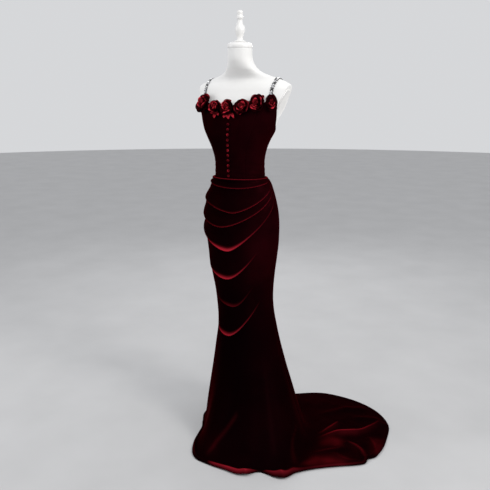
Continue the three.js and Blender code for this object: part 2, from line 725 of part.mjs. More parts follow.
ROSES.forEach((rose, n) => {
  const radius = rose.radius * ROSE_SHARE;
  const height = rose.radius * ROSE_HEIGHT;
  const under = (share) => {
    const [inner, mid, outer] = ROSE_PROFILE;
    if (share < inner[0]) return 0;
    if (share < mid[0]) return height * mid[1] * (share - inner[0]) / (mid[0] - inner[0]);
    return height * (mid[1] + (outer[1] - mid[1]) * (share - mid[0]) / (outer[0] - mid[0]));
  };
  const at = seat(rose.angle, rose.z, radius, ROSE_LIFT, rose.tall, under);
  // the way up on the bodice, seen in the rose's own frame
  const turned = new THREE.Quaternion().setFromUnitVectors(new THREE.Vector3(0, 0, 1), at.normal).invert();
  const up = new THREE.Vector3(0, 0, 1).applyQuaternion(turned).setZ(0).normalize();
  const sides = 15;
  const rings = ROSE_PROFILE.map(([r, h], k) => Array.from({ length: sides }, (_, j) => {
    const turn = j * 2 * Math.PI / sides + k * 0.35;
    const wave = 1 - 0.07 * (k > 0 && k < 8 ? 1 - Math.cos(5 * j * 2 * Math.PI / sides) : 0);
    const out = radius * r * wave;
    const p = new THREE.Vector3(out * Math.cos(turn), out * Math.sin(turn), height * h);
    return p.addScaledVector(up, p.dot(up) * (rose.tall - 1));
  }));
  const mesh = closedRings(
    `rose_${n + 1}`,
    rings,
    new THREE.Vector3(0, 0, 0),
    new THREE.Vector3(0, 0, height * 0.94),
    COLOURS.rose,
    0.8,
  );
  dress.add(place(mesh, at));
});

for (let n = 0; n < BUTTON_COUNT; n += 1) {
  const z = BUTTON_TOP_Z + (BUTTON_LOW_Z - BUTTON_TOP_Z) * n / (BUTTON_COUNT - 1);
  const r = BUTTON_RADIUS;
  const h = BUTTON_HEIGHT;
  const profile = [[0, 0], [r * 0.8, 0], [r, h * 0.32], [r * 0.72, h * 0.82], [0, h]];
  const mesh = lathe(`button_${n + 1}`, profile, 10, COLOURS.button, 0.8);
  dress.add(place(mesh, seat(0, z, r, 0.35)));
}

export default dress;
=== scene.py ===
import math

import bpy
import numpy as np
from mathutils import Matrix, Vector
from mathutils.bvhtree import BVHTree


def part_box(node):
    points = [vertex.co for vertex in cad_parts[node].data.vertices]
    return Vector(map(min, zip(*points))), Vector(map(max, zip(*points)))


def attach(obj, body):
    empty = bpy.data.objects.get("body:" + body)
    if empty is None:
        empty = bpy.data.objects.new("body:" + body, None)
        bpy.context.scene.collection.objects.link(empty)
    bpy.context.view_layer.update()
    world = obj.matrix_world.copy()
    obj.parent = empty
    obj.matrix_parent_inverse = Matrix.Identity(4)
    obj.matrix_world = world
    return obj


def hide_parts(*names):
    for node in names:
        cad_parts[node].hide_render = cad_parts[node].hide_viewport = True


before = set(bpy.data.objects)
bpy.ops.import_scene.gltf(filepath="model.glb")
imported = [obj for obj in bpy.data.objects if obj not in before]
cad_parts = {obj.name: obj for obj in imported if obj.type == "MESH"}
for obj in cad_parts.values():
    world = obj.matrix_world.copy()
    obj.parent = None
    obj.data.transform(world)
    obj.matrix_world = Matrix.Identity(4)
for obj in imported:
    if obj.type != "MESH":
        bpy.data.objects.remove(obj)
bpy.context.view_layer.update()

# sizes, millimetres
CLOTH = 2.4
FORM_INSET = 5.0
ROLL_RADIUS = 5.5
ROLL_Z = 1077.5
ROLL_CLEAR = 0.95
BODICE_BOTTOM_Z = 1066
PRINCESS_ANGLE = 38
SIDE_LEFT = 96
SIDE_RIGHT = -90
FLARE_Z = 365
FILLET_AT = 0.86
DRAPE_SINK = 4


def table(names, rows):
    columns = np.array(rows, float).T
    return {name: columns[i] for i, name in enumerate(names)}


BODY = table(["z", "half_width", "front", "back", "set"], [
    [780, 137, 96, 96, 4], [840, 148, 101, 102, 3], [910, 155, 104, 108, 1], [985, 149, 100, 104, 0],
    [1030, 130, 93, 94, 0], [1060, 110, 86.5, 85, 0], [1108, 104.5, 85, 82, 0],
    [1133, 103, 85, 82, 0], [1157, 104.5, 86, 83, 0], [1180, 108.5, 86.5, 86, 0],
    [1204, 116, 84.5, 91, 0], [1228, 127, 83, 97, 0], [1251, 140.5, 81, 104, 0],
    [1275, 153.5, 79.5, 110, 0], [1300, 163.5, 79, 114, 0], [1320, 171, 79, 114, 2],
    [1350, 184, 78, 111, 6], [1380, 199, 74, 103, 16], [1410, 211, 67, 94, 26],
    [1430, 212, 60, 85, 31], [1443, 199, 53, 76, 34], [1453, 178, 46, 67, 36],
    [1464, 150, 41, 60, 36], [1475, 113, 39, 57, 31], [1487, 84, 40.5, 57, 23],
    [1501, 66, 44, 56, 13], [1525, 52, 47, 52, 4], [1577, 47.5, 47.5, 47.5, 0],
])
BUST = {"angle": 40, "height": 27, "z": 1262, "spread_z": 60, "spread_angle": 21, "sideways": 0.5}

SKIRT = table(["z", "half_width", "front", "back", "lean"], [
    [1083, 118, 93, 90, 0], [1060, 130, 98, 96, 3], [1035, 140, 101, 101, 3],
    [986, 156, 106, 109, 2], [911, 165, 112, 115, 4], [836, 162, 112, 113, 7],
    [760, 152, 109, 108, 8.5], [683, 140, 106, 102, 10.5], [605, 129, 102, 99, 15],
    [525, 126.5, 103, 100, 21], [445, 131, 112, 108, 30], [365, 144, 129, 123, 35],
    [335, 150, 136, 129, 37],
])
LEAN_TOWARDS = (0.857, 0.515)
TO_VIEWER = (0.515, -0.857)

HEM = table(["angle", "contact", "hem"], [
    [-90, 170, 185], [-60, 158, 166], [-40, 165, 178], [-25, 193, 222], [-15, 232, 268],
    [0, 292, 346], [10, 312, 363], [21, 338, 385], [33, 362, 421], [42, 366, 404], [50, 376, 468],
    [59, 371, 457], [69, 356, 477], [78, 338, 527], [86, 322, 594], [96, 305, 618], [108, 286, 630],
    [117, 272, 642], [126, 264, 630], [137, 253, 590], [148, 242, 530], [157, 236, 472],
    [167, 228, 374], [180, 218, 300], [210, 195, 226], [240, 175, 199], [270, 170, 185],
])

# swags from hip to hip: heights at the left seam, lowest point and right seam, the roundness
# of the turn, how proud the lip is, the angles where it fades in and out, how strong the painted
# highlight along its lip is and how far that painted highlight keeps to the lowest point
SWAG_NAMES = (
    "left", "low", "at", "right", "round_left", "round_right", "proud",
    "from0", "from1", "to0", "to1", "highlight_strength", "focus",
)
SWAGS = [
    dict(zip(SWAG_NAMES, row))
    for row in [
        (1069, 1044, 9, 1068, 0.5, 0.5, 6, -90, -74, 80, 96, 0.42, 0.1),
        (1052, 949, 8, 1013, 0.15, 0.12, 7.5, -90, -74, 80, 96, 0.50, 0.1),
        (1035, 888, -14, 950, 0.3, 0.3, 7.5, -90, -74, 80, 96, 0.50, 0.12),
        (1016, 794, -2, 895, 0.15, 0.3, 10, -90, -72, 78, 96, 1.0, 0.9),
        (980, 674, -8, 760, 0.45, 0.4, 8, -74, -40, 24, 50, 0.9, 0.85),
        (860, 556, 0, 640, 0.4, 0.4, 2.6, -60, -28, 18, 48, 0.16, 0.9),
        (687, 432, -13, 510, 0.2, 0.4, 7.5, -64, -34, 32, 62, 0.75, 0.8),
    ]
]

# folds of the cloth on the floor: points (x, y), height, spread towards the viewer and away, strength of
# the painted highlight along the fold
FOLDS = [
    ([(307, 25), (337, 77), (358, 134), (377, 192)], 12, 15, 8, 0.20),
    ([(310, -11), (346, 39), (399, 115), (450, 155), (491, 190), (528, 283)], 14, 17, 8, 0.20),
    ([(478, 66), (516, 57), (551, 33), (587, -15)], 12, 13, 10, 0.09),
    ([(199, 184), (242, 177)], 9, 12, 8, 0.08),
    ([(314, -145), (360, -226)], 9, 16, 12, 0.12),
    ([(205, -300), (236, -368)], 8, 14, 14, 0.0),
    ([(330, -262), (352, -290)], 13, 18, 14, 0.03),
    ([(436, 290), (500, 312), (548, 290)], 7, 20, 16, 0.0),
    ([(470, -40), (520, -52), (560, -50)], 7, 17, 12, 0.02),
    ([(330, -90), (395, -60), (430, -20), (470, 20)], 6, 14, 11, 0.03),
    ([(300, 260), (345, 330), (410, 372)], 7, 22, 18, 0.0),
    ([(545, 140), (575, 110), (602, 58)], 7, 12, 12, 0.03),
]
# patches of painted highlight on the cloth on the floor: points (x, y), spread, strength
HIGHLIGHT_PATCHES = [
    ([(350, 16), (390, 30), (424, 50)], 22, 0.075),
    ([(330, -135), (368, -130), (435, -115), (506, -80)], 24, 0.055),
    ([(579, 144), (602, 58)], 15, 0.035),
    ([(430, 120), (470, 150)], 12, 0.02),
]
# how far the rolled hem stands up, by angle
HEM_ROLL = table(["angle", "high"], [
    [-90, 0], [-25, 1], [-16, 9], [-6, 12], [2, 4], [10, 8], [20, 14], [30, 18], [36, 17],
    [40, 6], [42.5, 1], [45.5, 13], [50, 19], [58, 15], [64, 9], [80, 8], [88, 3], [92, 8],
    [98, 8], [108, 4], [122, 2], [160, 2], [180, 1], [270, 0],
])
# painted highlight along the rolled hem, by angle
HEM_HIGHLIGHT = table(["angle", "highlight"], [
    [-90, 0], [-20, 0], [-14, 0.07], [-5, 0.09], [-1, 0.01], [4, 0], [10, 0.02], [13, 0.5],
    [20, 0.8], [28, 1.0], [34, 0.9], [38, 0.4], [41.5, 0], [43.5, 0.03], [46, 0.45],
    [52, 0.55], [58, 0.3], [62, 0.13], [70, 0.17], [80, 0.12], [87, 0.05], [90, 0],
    [94, 0.03], [102, 0.02], [108, 0], [270, 0],
])
# the hem is tucked in at one place: angle, depth, spread
HEM_TUCK = (89.3, 15, 1.5)

NECKLINE = table(["angle", "z"], [
    [0, 1358], [15, 1363], [30, 1370], [50, 1380], [61, 1380], [75, 1338], [90, 1292],
    [110, 1262], [140, 1245], [180, 1240],
])

ROSES = [
    # angle, z, radius, height over width, petals' share of the radius, seed
    (-41, 1366, 30, 1.15, 1.20, 3),
    (-20, 1354, 24.5, 1.08, 1.08, 8),
    (-3, 1354, 23, 1.1, 1.22, 5),
    (17, 1356, 25, 1.0, 1.24, 14),
    (34, 1368, 24, 1.3, 1.18, 21),
    (53, 1374, 21.5, 1.5, 1.0, 9),
]


# surfaces
def along(xs, ys, x):
    """Smooth curve through the rows of a table."""
    xs = np.asarray(xs, float)
    ys = np.asarray(ys, float)
    x = np.asarray(x, float)
    if xs[0] > xs[-1]:
        xs = xs[::-1]
        ys = ys[::-1]
    step = np.diff(xs)
    rise = np.diff(ys) / step
    slope = np.empty_like(ys)
    slope[0] = rise[0]
    slope[-1] = rise[-1]
    slope[1:-1] = (rise[:-1] * step[1:] + rise[1:] * step[:-1]) / (step[1:] + step[:-1])
    i = np.clip(np.searchsorted(xs, x, side="right") - 1, 0, len(xs) - 2)
    t = np.clip((x - xs[i]) / step[i], 0, 1)
    t2 = t * t
    t3 = t2 * t
    return (
        (2 * t3 - 3 * t2 + 1) * ys[i]
        + (t3 - 2 * t2 + t) * step[i] * slope[i]
        + (-2 * t3 + 3 * t2) * ys[i + 1]
        + (t3 - t2) * step[i] * slope[i + 1]
    )


def look_up(rows, name, at):
    """One column of a table, read at places in its first column."""
    key = next(iter(rows))
    return along(rows[key], rows[name], at)


def smooth(a, b, x):
    t = np.clip((np.asarray(x, float) - a) / (b - a), 0, 1)
    return t * t * (3 - 2 * t)


def bell(x):
    return np.exp(-np.asarray(x, float) ** 2 / 2)


def wrap(angle):
    angle = np.asarray(angle, float)
    return np.where(angle < -90, angle + 360, np.where(angle > 270, angle - 360, angle))


def unit(n):
    return n / np.maximum(np.linalg.norm(n, axis=-1, keepdims=True), 1e-9)


def grid_normal(points):
    return unit(np.cross(np.gradient(points, axis=0), np.gradient(points, axis=1)))


def lengths(points, axis):
    """Distances between neighbouring points of a grid, in the grid's unit."""
    return np.linalg.norm(np.diff(points, axis=axis), axis=-1)


def cos_sin(degrees):
    return math.cos(math.radians(degrees)), math.sin(math.radians(degrees))


def full_turn(count):
    return np.linspace(0, 2 * np.pi, count, endpoint=False)


def spread_out(z, angle):
    """Heights and angles of the same shape, and the angles' sine and cosine."""
    z, angle = np.broadcast_arrays(np.asarray(z, float), np.asarray(angle, float))
    return z, angle, np.sin(np.radians(angle)), np.cos(np.radians(angle))


def depth_of(rows, z, c):
    """Depth from the middle to the front where the cosine is positive, else to the back."""
    return np.where(c > 0, look_up(rows, "front", z), look_up(rows, "back", z))


def body_point(z, angle, inset=0.0):
    z, angle, s, c = spread_out(z, angle)
    half = look_up(BODY, "half_width", z) - inset
    depth = depth_of(BODY, z, c) - inset
    a = (angle + 180) % 360 - 180
    spread = BUST["spread_angle"]
    sides = bell((a - BUST["angle"]) / spread) + bell((a + BUST["angle"]) / spread)
    bust = BUST["height"] * bell((z - BUST["z"]) / BUST["spread_z"]) * sides
    x = half * s + bust * s * BUST["sideways"]
    y = -depth * c + look_up(BODY, "set", z) - bust * np.maximum(c, 0)
    return np.stack([x, y, z], -1)


def body_normal(z, angle):
    u = body_point(z, angle + 0.5) - body_point(z, angle - 0.5)
    v = body_point(z - 1.0, angle) - body_point(z + 1.0, angle)
    return unit(np.cross(v, u))


def round_axis(r, a, h):
    return np.stack([r * np.cos(a), r * np.sin(a), h + 0 * r * a], -1)


def polar(r, angle, z=0.0):
    """Points at a radius round the axis; angle 0 is the front, 90 the wearer's left."""
    a = np.radians(np.asarray(angle, float))
    return np.stack([r * np.sin(a), -r * np.cos(a), 0 * a + z], -1)


def skirt_ring(z, angle):
    z, angle, s, c = spread_out(z, angle)
    lean = look_up(SKIRT, "lean", z)
    x = look_up(SKIRT, "half_width", z) * s + lean * LEAN_TOWARDS[0]
    y = -depth_of(SKIRT, z, c) * c + lean * LEAN_TOWARDS[1]
    return np.stack([x, y, z], -1)


def ring_out(angle):
    a = np.radians(np.asarray(angle, float))
    return unit(np.stack([np.sin(a) / 1.3, -np.cos(a), 0 * a], -1))


def swag_z(swag, angle):
    angle = np.asarray(angle, float)
    left = angle > swag["at"]
    end = np.where(left, SIDE_LEFT, SIDE_RIGHT)
    t = np.clip((angle - swag["at"]) / (end - swag["at"]), 0, 1.05)
    k = np.where(left, swag["round_left"], swag["round_right"])
    top = np.where(left, swag["left"], swag["right"])
    return swag["low"] + (top - swag["low"]) * (np.hypot(t, k) - k) / (np.hypot(1, k) - k)


def swag_fade(swag, angle):
    return smooth(swag["from0"], swag["from1"], angle) * (1 - smooth(swag["to0"], swag["to1"], angle))


def near_line(points, x, y):
    """Distance to a curve through the points, side (positive towards the viewer), share of length."""
    knots = np.arange(len(points))
    fine = np.linspace(0, len(points) - 1, 6 * len(points))
    curve_x = along(knots, [p[0] for p in points], fine)
    curve_y = along(knots, [p[1] for p in points], fine)
    best = np.full_like(x, 1e9)
    side = np.zeros_like(x)
    share = np.zeros_like(x)
    for k in range(len(fine) - 1):
        dx = curve_x[k + 1] - curve_x[k]
        dy = curve_y[k + 1] - curve_y[k]
        t = np.clip(((x - curve_x[k]) * dx + (y - curve_y[k]) * dy) / (dx * dx + dy * dy), 0, 1)
        ox = x - curve_x[k] - t * dx
        oy = y - curve_y[k] - t * dy
        d = np.hypot(ox, oy)
        nearer = d < best
        side = np.where(nearer, TO_VIEWER[0] * ox + TO_VIEWER[1] * oy, side)
        share = np.where(nearer, (k + t) / (len(fine) - 1), share)
        best = np.minimum(best, d)
    return best, side, share


def fold_relief(x, y):
    """Height that the folds give the cloth on the floor, and the painted highlight along the folds and in
    patches.
    """
    high = np.zeros_like(x)
    highlight = np.zeros_like(x)
    for points, height, near, far, glow in FOLDS:
        d, side, share = near_line(points, x, y)
        spread = far + (near - far) * smooth(-6, 6, side)
        high += height * bell(1.25 * d / spread)
        taper = np.sin(np.pi * np.clip(share, 0.02, 0.98)) ** 0.7
        # painted highlight along the crest, stronger on the side towards the viewer
        highlight += 1.3 * glow * taper * bell(d / 2.6) * (0.35 + 0.65 * smooth(-5, 3, side))
        highlight += 0.16 * glow * taper * bell(d / 14.0) * smooth(-2, 8, side)
    for points, spread, glow in HIGHLIGHT_PATCHES:
        d, side, share = near_line(points, x, y)
        # painted highlight in patches
        highlight += glow * bell(d / spread) * (0.75 + 0.45 * undulation(x, y, 48.0))
    return high, np.clip(highlight, 0, 1)


# soft upright flutes of the flare: angle, height, spread in degrees
FLUTES = [
    (-62, 4, 9), (-22, 5, 8), (12, 8, 6), (33, 3, 6), (52, 8, 6), (66, 5, 5),
    (84, 6, 7), (108, 8, 7), (132, 8, 9), (160, 7, 9), (196, 6, 11), (236, 5, 12),
]


def flutes(angle):
    total = np.zeros_like(np.asarray(angle, float))
    for at, high, spread in FLUTES:
        total = total + high * bell((wrap(angle) - at) / spread)
    return total - 3.0


def undulation(x, y, scale):
    """Slow irregular waves without a seam, between about -1 and 1."""
    x = x / scale
    y = y / scale
    w = np.sin(1.9 * x + 0.7 * y + 0.4) * np.cos(0.6 * x - 1.7 * y + 1.1)
    w = w + 0.6 * np.sin(3.1 * x - 2.3 * y + 2.0) * np.cos(2.2 * x + 2.9 * y)
    return w / 1.5


def faint_wave(p):
    return 1.1 * undulation(p[..., 0] * 1.4 + 0.3 * p[..., 2], p[..., 2] * 0.8, 90.0)


def flare_point(t, angle):
    top = skirt_ring(FLARE_Z, angle)
    lower = skirt_ring(FLARE_Z - 20, angle)
    r = look_up(HEM, "contact", wrap(angle))
    rise = FLARE_Z - CLOTH
    foot = polar(r, angle)
    straight = (lower - top) * rise / 20
    p = top + straight * t + (foot - top - straight) * t**1.7
    p[..., 2] = FLARE_Z - rise * t
    return p


def floor_points(angle):
    p0 = flare_point(FILLET_AT, angle)
    q = flare_point(FILLET_AT - 0.01, angle)
    share = (p0[..., 2] - CLOTH) / (q[..., 2] - p0[..., 2])
    p1 = p0 + (p0 - q) * share[..., None]
    at, depth, spread = HEM_TUCK
    r = look_up(HEM, "hem", wrap(angle)) - depth * bell((wrap(angle) - at) / spread)
    hem = polar(r, angle, CLOTH)
    run = np.linalg.norm(p1 - hem, axis=-1)
    share = np.minimum(45, 0.75 * run) / run
    p2 = p1 + (hem - p1) * share[..., None]
    return p0, p1, p2, hem


def roll_point(turn, angle):
    base = body_point(ROLL_Z, angle)
    c, s = cos_sin(turn)
    p = base + ring_out(angle) * (ROLL_CLEAR + ROLL_RADIUS + ROLL_RADIUS * c)
    p[..., 2] += ROLL_RADIUS * s
    return p


# meshes
def link_new(name, data):
    obj = bpy.data.objects.new(name, data)
    bpy.context.collection.objects.link(obj)
    return obj


def new_object(name, verts, faces, smooth_shade=True):
    mesh = bpy.data.meshes.new(name)
    mesh.from_pydata([tuple(v) for v in verts], [], faces)
    mesh.validate()
    if smooth_shade:
        mesh.polygons.foreach_set("use_smooth", [True] * len(mesh.polygons))
    return link_new(name, mesh)


def quad(corner, first_step, second_step):
    return corner, corner + first_step, corner + first_step + second_step, corner + second_step


def grid_faces(rows, cols):
    return [quad(i * cols + j, cols, 1) for i in range(rows - 1) for j in range(cols - 1)]


def tube_faces(rings, count, start=0):
    """Faces round a stack of rings of count points, whose first point has the number start."""
    faces = []
    for i in range(rings - 1):
        for j in range(count):
            a = start + i * count + j
            b = start + i * count + (j + 1) % count
            faces.append((a, b, b + count, a + count))
    return faces


def point_values(obj, name, values):
    layer = obj.data.attributes.new(name, "FLOAT", "POINT")
    layer.data.foreach_set("value", values)


def grid_object(name, points, attributes=None):
    """points is rows by columns by 3 in millimetres; rows run down, columns to the wearer's left."""
    rows, cols = points.shape[:2]
    obj = new_object(name, points.reshape(-1, 3) / 1000, grid_faces(rows, cols))
    for key, values in (attributes or {}).items():
        point_values(obj, key, np.broadcast_to(values, (rows, cols)).reshape(-1).astype(float))
    return obj


def assign(obj, *materials):
    obj.data.materials.clear()
    for material in materials:
        obj.data.materials.append(material)


def stand_for(obj, node):
    """The piece rides on the body and takes the place of its solid."""
    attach(obj, "root")
    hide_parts(node)


def centre_of(node):
    low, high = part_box(node)
    return (np.array(low) + np.array(high)) * 500


# materials
def material(name):
    m = bpy.data.materials.new(name)
    m.use_nodes = True
    return m, m.node_tree, m.node_tree.nodes["Principled BSDF"]


def set_sockets(node, values):
    for name, value in values.items():
        node.inputs[name].default_value = value


def noise(tree, scale, detail=3.0, rough=0.5):
    coords = tree.nodes.new("ShaderNodeTexCoord")
    tex = tree.nodes.new("ShaderNodeTexNoise")
    set_sockets(tex, {"Scale": scale, "Detail": detail, "Roughness": rough})
    tree.links.new(coords.outputs["Object"], tex.inputs["Vector"])
    return tex.outputs["Fac"]


def ramp(tree, value, low, high, dark, light):
    node = tree.nodes.new("ShaderNodeValToRGB")
    node.color_ramp.elements[0].position = low
    node.color_ramp.elements[1].position = high
    node.color_ramp.elements[0].color = (*dark, 1)
    node.color_ramp.elements[1].color = (*light, 1)
    tree.links.new(value, node.inputs["Fac"])
    return node.outputs["Color"]


def bump(tree, bsdf, height, strength, distance):
    node = tree.nodes.new("ShaderNodeBump")
    set_sockets(node, {"Strength": strength, "Distance": distance})
    tree.links.new(height, node.inputs["Height"])
    tree.links.new(node.outputs["Normal"], bsdf.inputs["Normal"])


def plain(name, scale, dark, light, sockets, low=0.3, high=0.7, detail=3.0):
    """A material whose base colour wanders slowly between two tones."""
    m, tree, bsdf = material(name)
    colour = ramp(tree, noise(tree, scale, detail), low, high, dark, light)
    tree.links.new(colour, bsdf.inputs["Base Color"])
    set_sockets(bsdf, sockets)
    return m, tree, bsdf


def mixed(tree, attribute_name, base, colour):
    """The base where the attribute of the points is 0, the colour where it is 1."""
    attribute = tree.nodes.new("ShaderNodeAttribute")
    attribute.attribute_type = "GEOMETRY"
    attribute.attribute_name = attribute_name
    node = tree.nodes.new("ShaderNodeMix")
    node.data_type = "RGBA"
    tree.links.new(attribute.outputs["Fac"], node.inputs["Factor"])
    tree.links.new(base, node.inputs["A"])
    node.inputs["B"].default_value = (*colour, 1)
    return node.outputs["Result"]


def velvet(name, deep, mid, highlight_colour, rough, sheen, sheen_weight):
    """Pile cloth: a near-black tone that wanders, painted darker still where the points carry painted shade
    and painted red where they carry a painted highlight.
    """
    m, tree, bsdf = material(name)
    base = ramp(tree, noise(tree, 7.0, 4.0, 0.55), 0.35, 0.7, deep, mid)
    # painted shade: the points' attribute turns the base near black
    base = mixed(tree, "painted_shade", base, (0.0012, 0.0003, 0.0005))
    # painted highlight: the points' attribute turns the base to the bright red highlight colour
    base = mixed(tree, "painted_highlight", base, highlight_colour)
    tree.links.new(base, bsdf.inputs["Base Color"])
    patches = noise(tree, 26.0, 3.0, 0.6)
    spread = tree.nodes.new("ShaderNodeMapRange")
    set_sockets(spread, {"To Min": rough - 0.07, "To Max": rough + 0.09})
    tree.links.new(patches, spread.inputs["Value"])
    tree.links.new(spread.outputs["Result"], bsdf.inputs["Roughness"])
    set_sockets(bsdf, {
        "Specular IOR Level": 0.0, "Specular Tint": (0.5, 0.015, 0.03, 1), "Metallic": 0.34,
        "Sheen Weight": sheen_weight, "Sheen Roughness": 0.4, "Sheen Tint": (*sheen, 1),
    })
    bump(tree, bsdf, noise(tree, 1400.0, 2.0), 0.2, 0.0004)
    return m


# the third colour of each is the colour of the painted highlight
MAT_VELVET = velvet(
    "velvet_burgundy", (0.0072, 0.0005, 0.0011), (0.0160, 0.0009, 0.0021), (0.72, 0.030, 0.054),
    rough=0.42, sheen=(0.55, 0.01, 0.03), sheen_weight=0.05,
)
MAT_ROSE = velvet(
    "velvet_rose", (0.0045, 0.0003, 0.0008), (0.0160, 0.0007, 0.0020), (1.0, 0.055, 0.085),
    rough=0.32, sheen=(0.8, 0.02, 0.04), sheen_weight=0.02,
)
MAT_BUTTON = velvet(
    "velvet_button", (0.0050, 0.0004, 0.0009), (0.0140, 0.0008, 0.0020), (0.62, 0.030, 0.050),
    rough=0.30, sheen=(0.8, 0.03, 0.05), sheen_weight=0.03,
)


def form_cover():
    sockets = {"Roughness": 0.62, "Sheen Weight": 0.15}
    m, tree, bsdf = plain("form_jersey", 5.0, (0.80, 0.795, 0.78), (0.86, 0.855, 0.845), sockets)
    coords = tree.nodes.new("ShaderNodeTexCoord")
    wave = tree.nodes.new("ShaderNodeTexWave")
    set_sockets(wave, {"Scale": 420.0, "Distortion": 0.6})
    tree.links.new(coords.outputs["Object"], wave.inputs["Vector"])
    bump(tree, bsdf, wave.outputs["Fac"], 0.12, 0.0003)
    return m


def lacquer(name, colour, rough, coat=0.3):
    sockets = {"Roughness": rough, "Coat Weight": coat, "Coat Roughness": 0.2}
    m, tree, bsdf = plain(name, 18.0, tuple(0.95 * c for c in colour), colour, sockets)
    bump(tree, bsdf, noise(tree, 60.0, 2.0), 0.04, 0.0005)
    return m


def crystal(name, dark, light):
    sockets = {"Metallic": 0.4, "Roughness": 0.06, "Coat Weight": 0.6, "Coat Roughness": 0.02}
    return plain(name, 150.0, (dark, dark, 1.1 * dark), (light, light, light), sockets, 0.42, 0.58, 0.0)[0]


MAT_FORM = form_cover()
MAT_FITTING = lacquer("white_lacquer", (0.86, 0.85, 0.835), 0.32)
MAT_PAINT = lacquer("white_paint", (0.84, 0.84, 0.83), 0.4, 0.1)
# lit and shaded copies of one crystal: painted sparkle on the bright stones, painted shade on the dark ones
MAT_CRYSTAL_PAINTED_SPARKLE = crystal("crystal_painted_sparkle", 0.55, 1.0)
MAT_CRYSTAL_SHADE = crystal("crystal_in_shade", 0.004, 0.05)
MAT_SILVER = plain(
    "silver_setting", 90.0, (0.03, 0.03, 0.035), (0.20, 0.20, 0.21), {"Metallic": 0.95, "Roughness": 0.22},
)[0]


# skirt
def spaced(a, b, count, share=0.0):
    """Evenly spaced numbers, drawn together towards both ends by share."""
    t = np.linspace(0, 1, count)
    t = (1 - share) * t + share * (0.5 - 0.5 * np.cos(np.pi * t))
    return a + (b - a) * t


def sink(z, angle):
    return DRAPE_SINK * smooth(-90, -76, angle) * (1 - smooth(82, SIDE_LEFT, angle)) * smooth(380, 520, z)


def soft_body(z, angle):
    """Upright flutes that grow towards the floor, and faint waves in the hanging cloth."""
    p = skirt_ring(z, angle)
    return flutes(angle) * 0.35 * smooth(620, FLARE_Z, z) + faint_wave(p) * smooth(1060, 960, z)


def rolled_edge(angles, highlight_strength, share):
    """The waist edge: its inner side, then the roll over it, each row with the painted highlight along the
    top of the roll.
    """
    rows = []
    for depth in (9, 5, 1):
        p = roll_point(180, angles)
        p[..., 2] -= depth
        rows.append((p, 0.0))
    for turn in np.linspace(180, 0, 15):
        rows.append((roll_point(turn, angles), highlight_strength * math.exp(-(((turn - 66) / 17.0) ** 2)) * share))
    return rows


def front_panel():
    angles = spaced(SIDE_RIGHT, SIDE_LEFT, 236)
    # painted highlight on the waist roll, stronger towards the front
    rows = rolled_edge(angles, 0.30, 0.7 + 0.3 * bell((angles - 5) / 40))

    def ring(z, r):
        p = skirt_ring(z, angles)
        return p + ring_out(angles) * (r - sink(z, angles) + soft_body(z, angles))[..., None]

    above = np.full_like(angles, ROLL_Z)
    window_above = np.full_like(angles, 0.6)
    for n, swag in enumerate(SWAGS):
        highlight_strength = swag["highlight_strength"]
        focus = swag["focus"]
        here = swag_z(swag, angles)
        span = above - here
        if n + 1 < len(SWAGS):
            next_span = here - swag_z(SWAGS[n + 1], angles)
        else:
            next_span = np.full_like(angles, 120.0)
        fade = swag_fade(swag, angles)
        width = 1 - focus * (1 - bell((angles - swag["at"] + 4) / 24))
        window = np.minimum(4.5, 0.22 * np.minimum(span, next_span))
        proud = np.minimum(swag["proud"], 0.4 * span) * fade
        top = above - window_above
        foot = here + window
        for s in spaced(0, 1, 9 if swag["low"] > 1000 else 17)[1:]:
            z = top + (foot - top) * s
            rise = smooth(0.30, 1.04, s)
            # painted highlight just above the lip, drawn in towards the lowest point
            glow = 0.0
            if s > 0.7:
                near = np.exp(-((((1 - s) * span) / (1.2 + 8.0 * focus * width**2)) ** 2))
                glow = 0.8 * highlight_strength * focus * fade * width * near
            rows.append((ring(z, proud * rise), glow))
        # the lip: round outside, tucked under, then the crease where the next swag starts
        bend = np.minimum(0.42 * proud, window)
        for k in range(1, 13):
            q = k / 12
            plain_z = foot - 2 * window * q
            plain_r = proud * 0.5 * (1 + math.cos(math.pi * q))
            c, s = cos_sin(-165 * min(k, 8) / 8)
            over_r = proud - bend + bend * c
            over_z = here + window + bend * s
            if k > 8:
                back = (k - 8) / 4
                over_r = over_r * (1 - back) ** 1.5
                over_z = over_z + (here - window - over_z) * back
            z = plain_z + (over_z - plain_z) * fade
            r = plain_r + (over_r - plain_r) * fade
            # painted highlight along the rounded edge of the lip
            thick = 0.085 + 0.12 * focus * width
            glow = highlight_strength * fade * np.exp(-(((q - 0.2) / thick) ** 2))
            rows.append((ring(z, r), glow * width))
        above = here
        window_above = window
    top = above - window_above
    for s in spaced(0, 1, 34, 0.4)[1:]:
        z = top + (FLARE_Z - top) * float(s)
        rows.append((ring(z, 0.0), 0.0))
    return angles, rows + lower_rows(angles)


# painted highlight lines along faint creases of the flare, which have no relief of their own: points (share
# of the way down, angle), strength
CREASE_HIGHLIGHTS = [
    ([0.60, 0.78, 0.93], [20.0, 12.5, 6.0], 0.016),
    ([0.80, 0.88, 0.98], [80.0, 69.0, 64.0], 0.010),
]


# painted highlight of the flare's faint creases, for one row
def crease_glow(t, angles):
    total = np.zeros_like(angles)
    for shares, at, glow in CREASE_HIGHLIGHTS:
        middle = float(along(shares, at, t))
        begun = float(smooth(shares[0] - 0.06, shares[0] + 0.04, t))
        ended = float(smooth(shares[-1] - 0.04, shares[-1] + 0.04, t))
        total += glow * begun * (1 - ended) * bell((angles - middle) / 1.3)
    return total


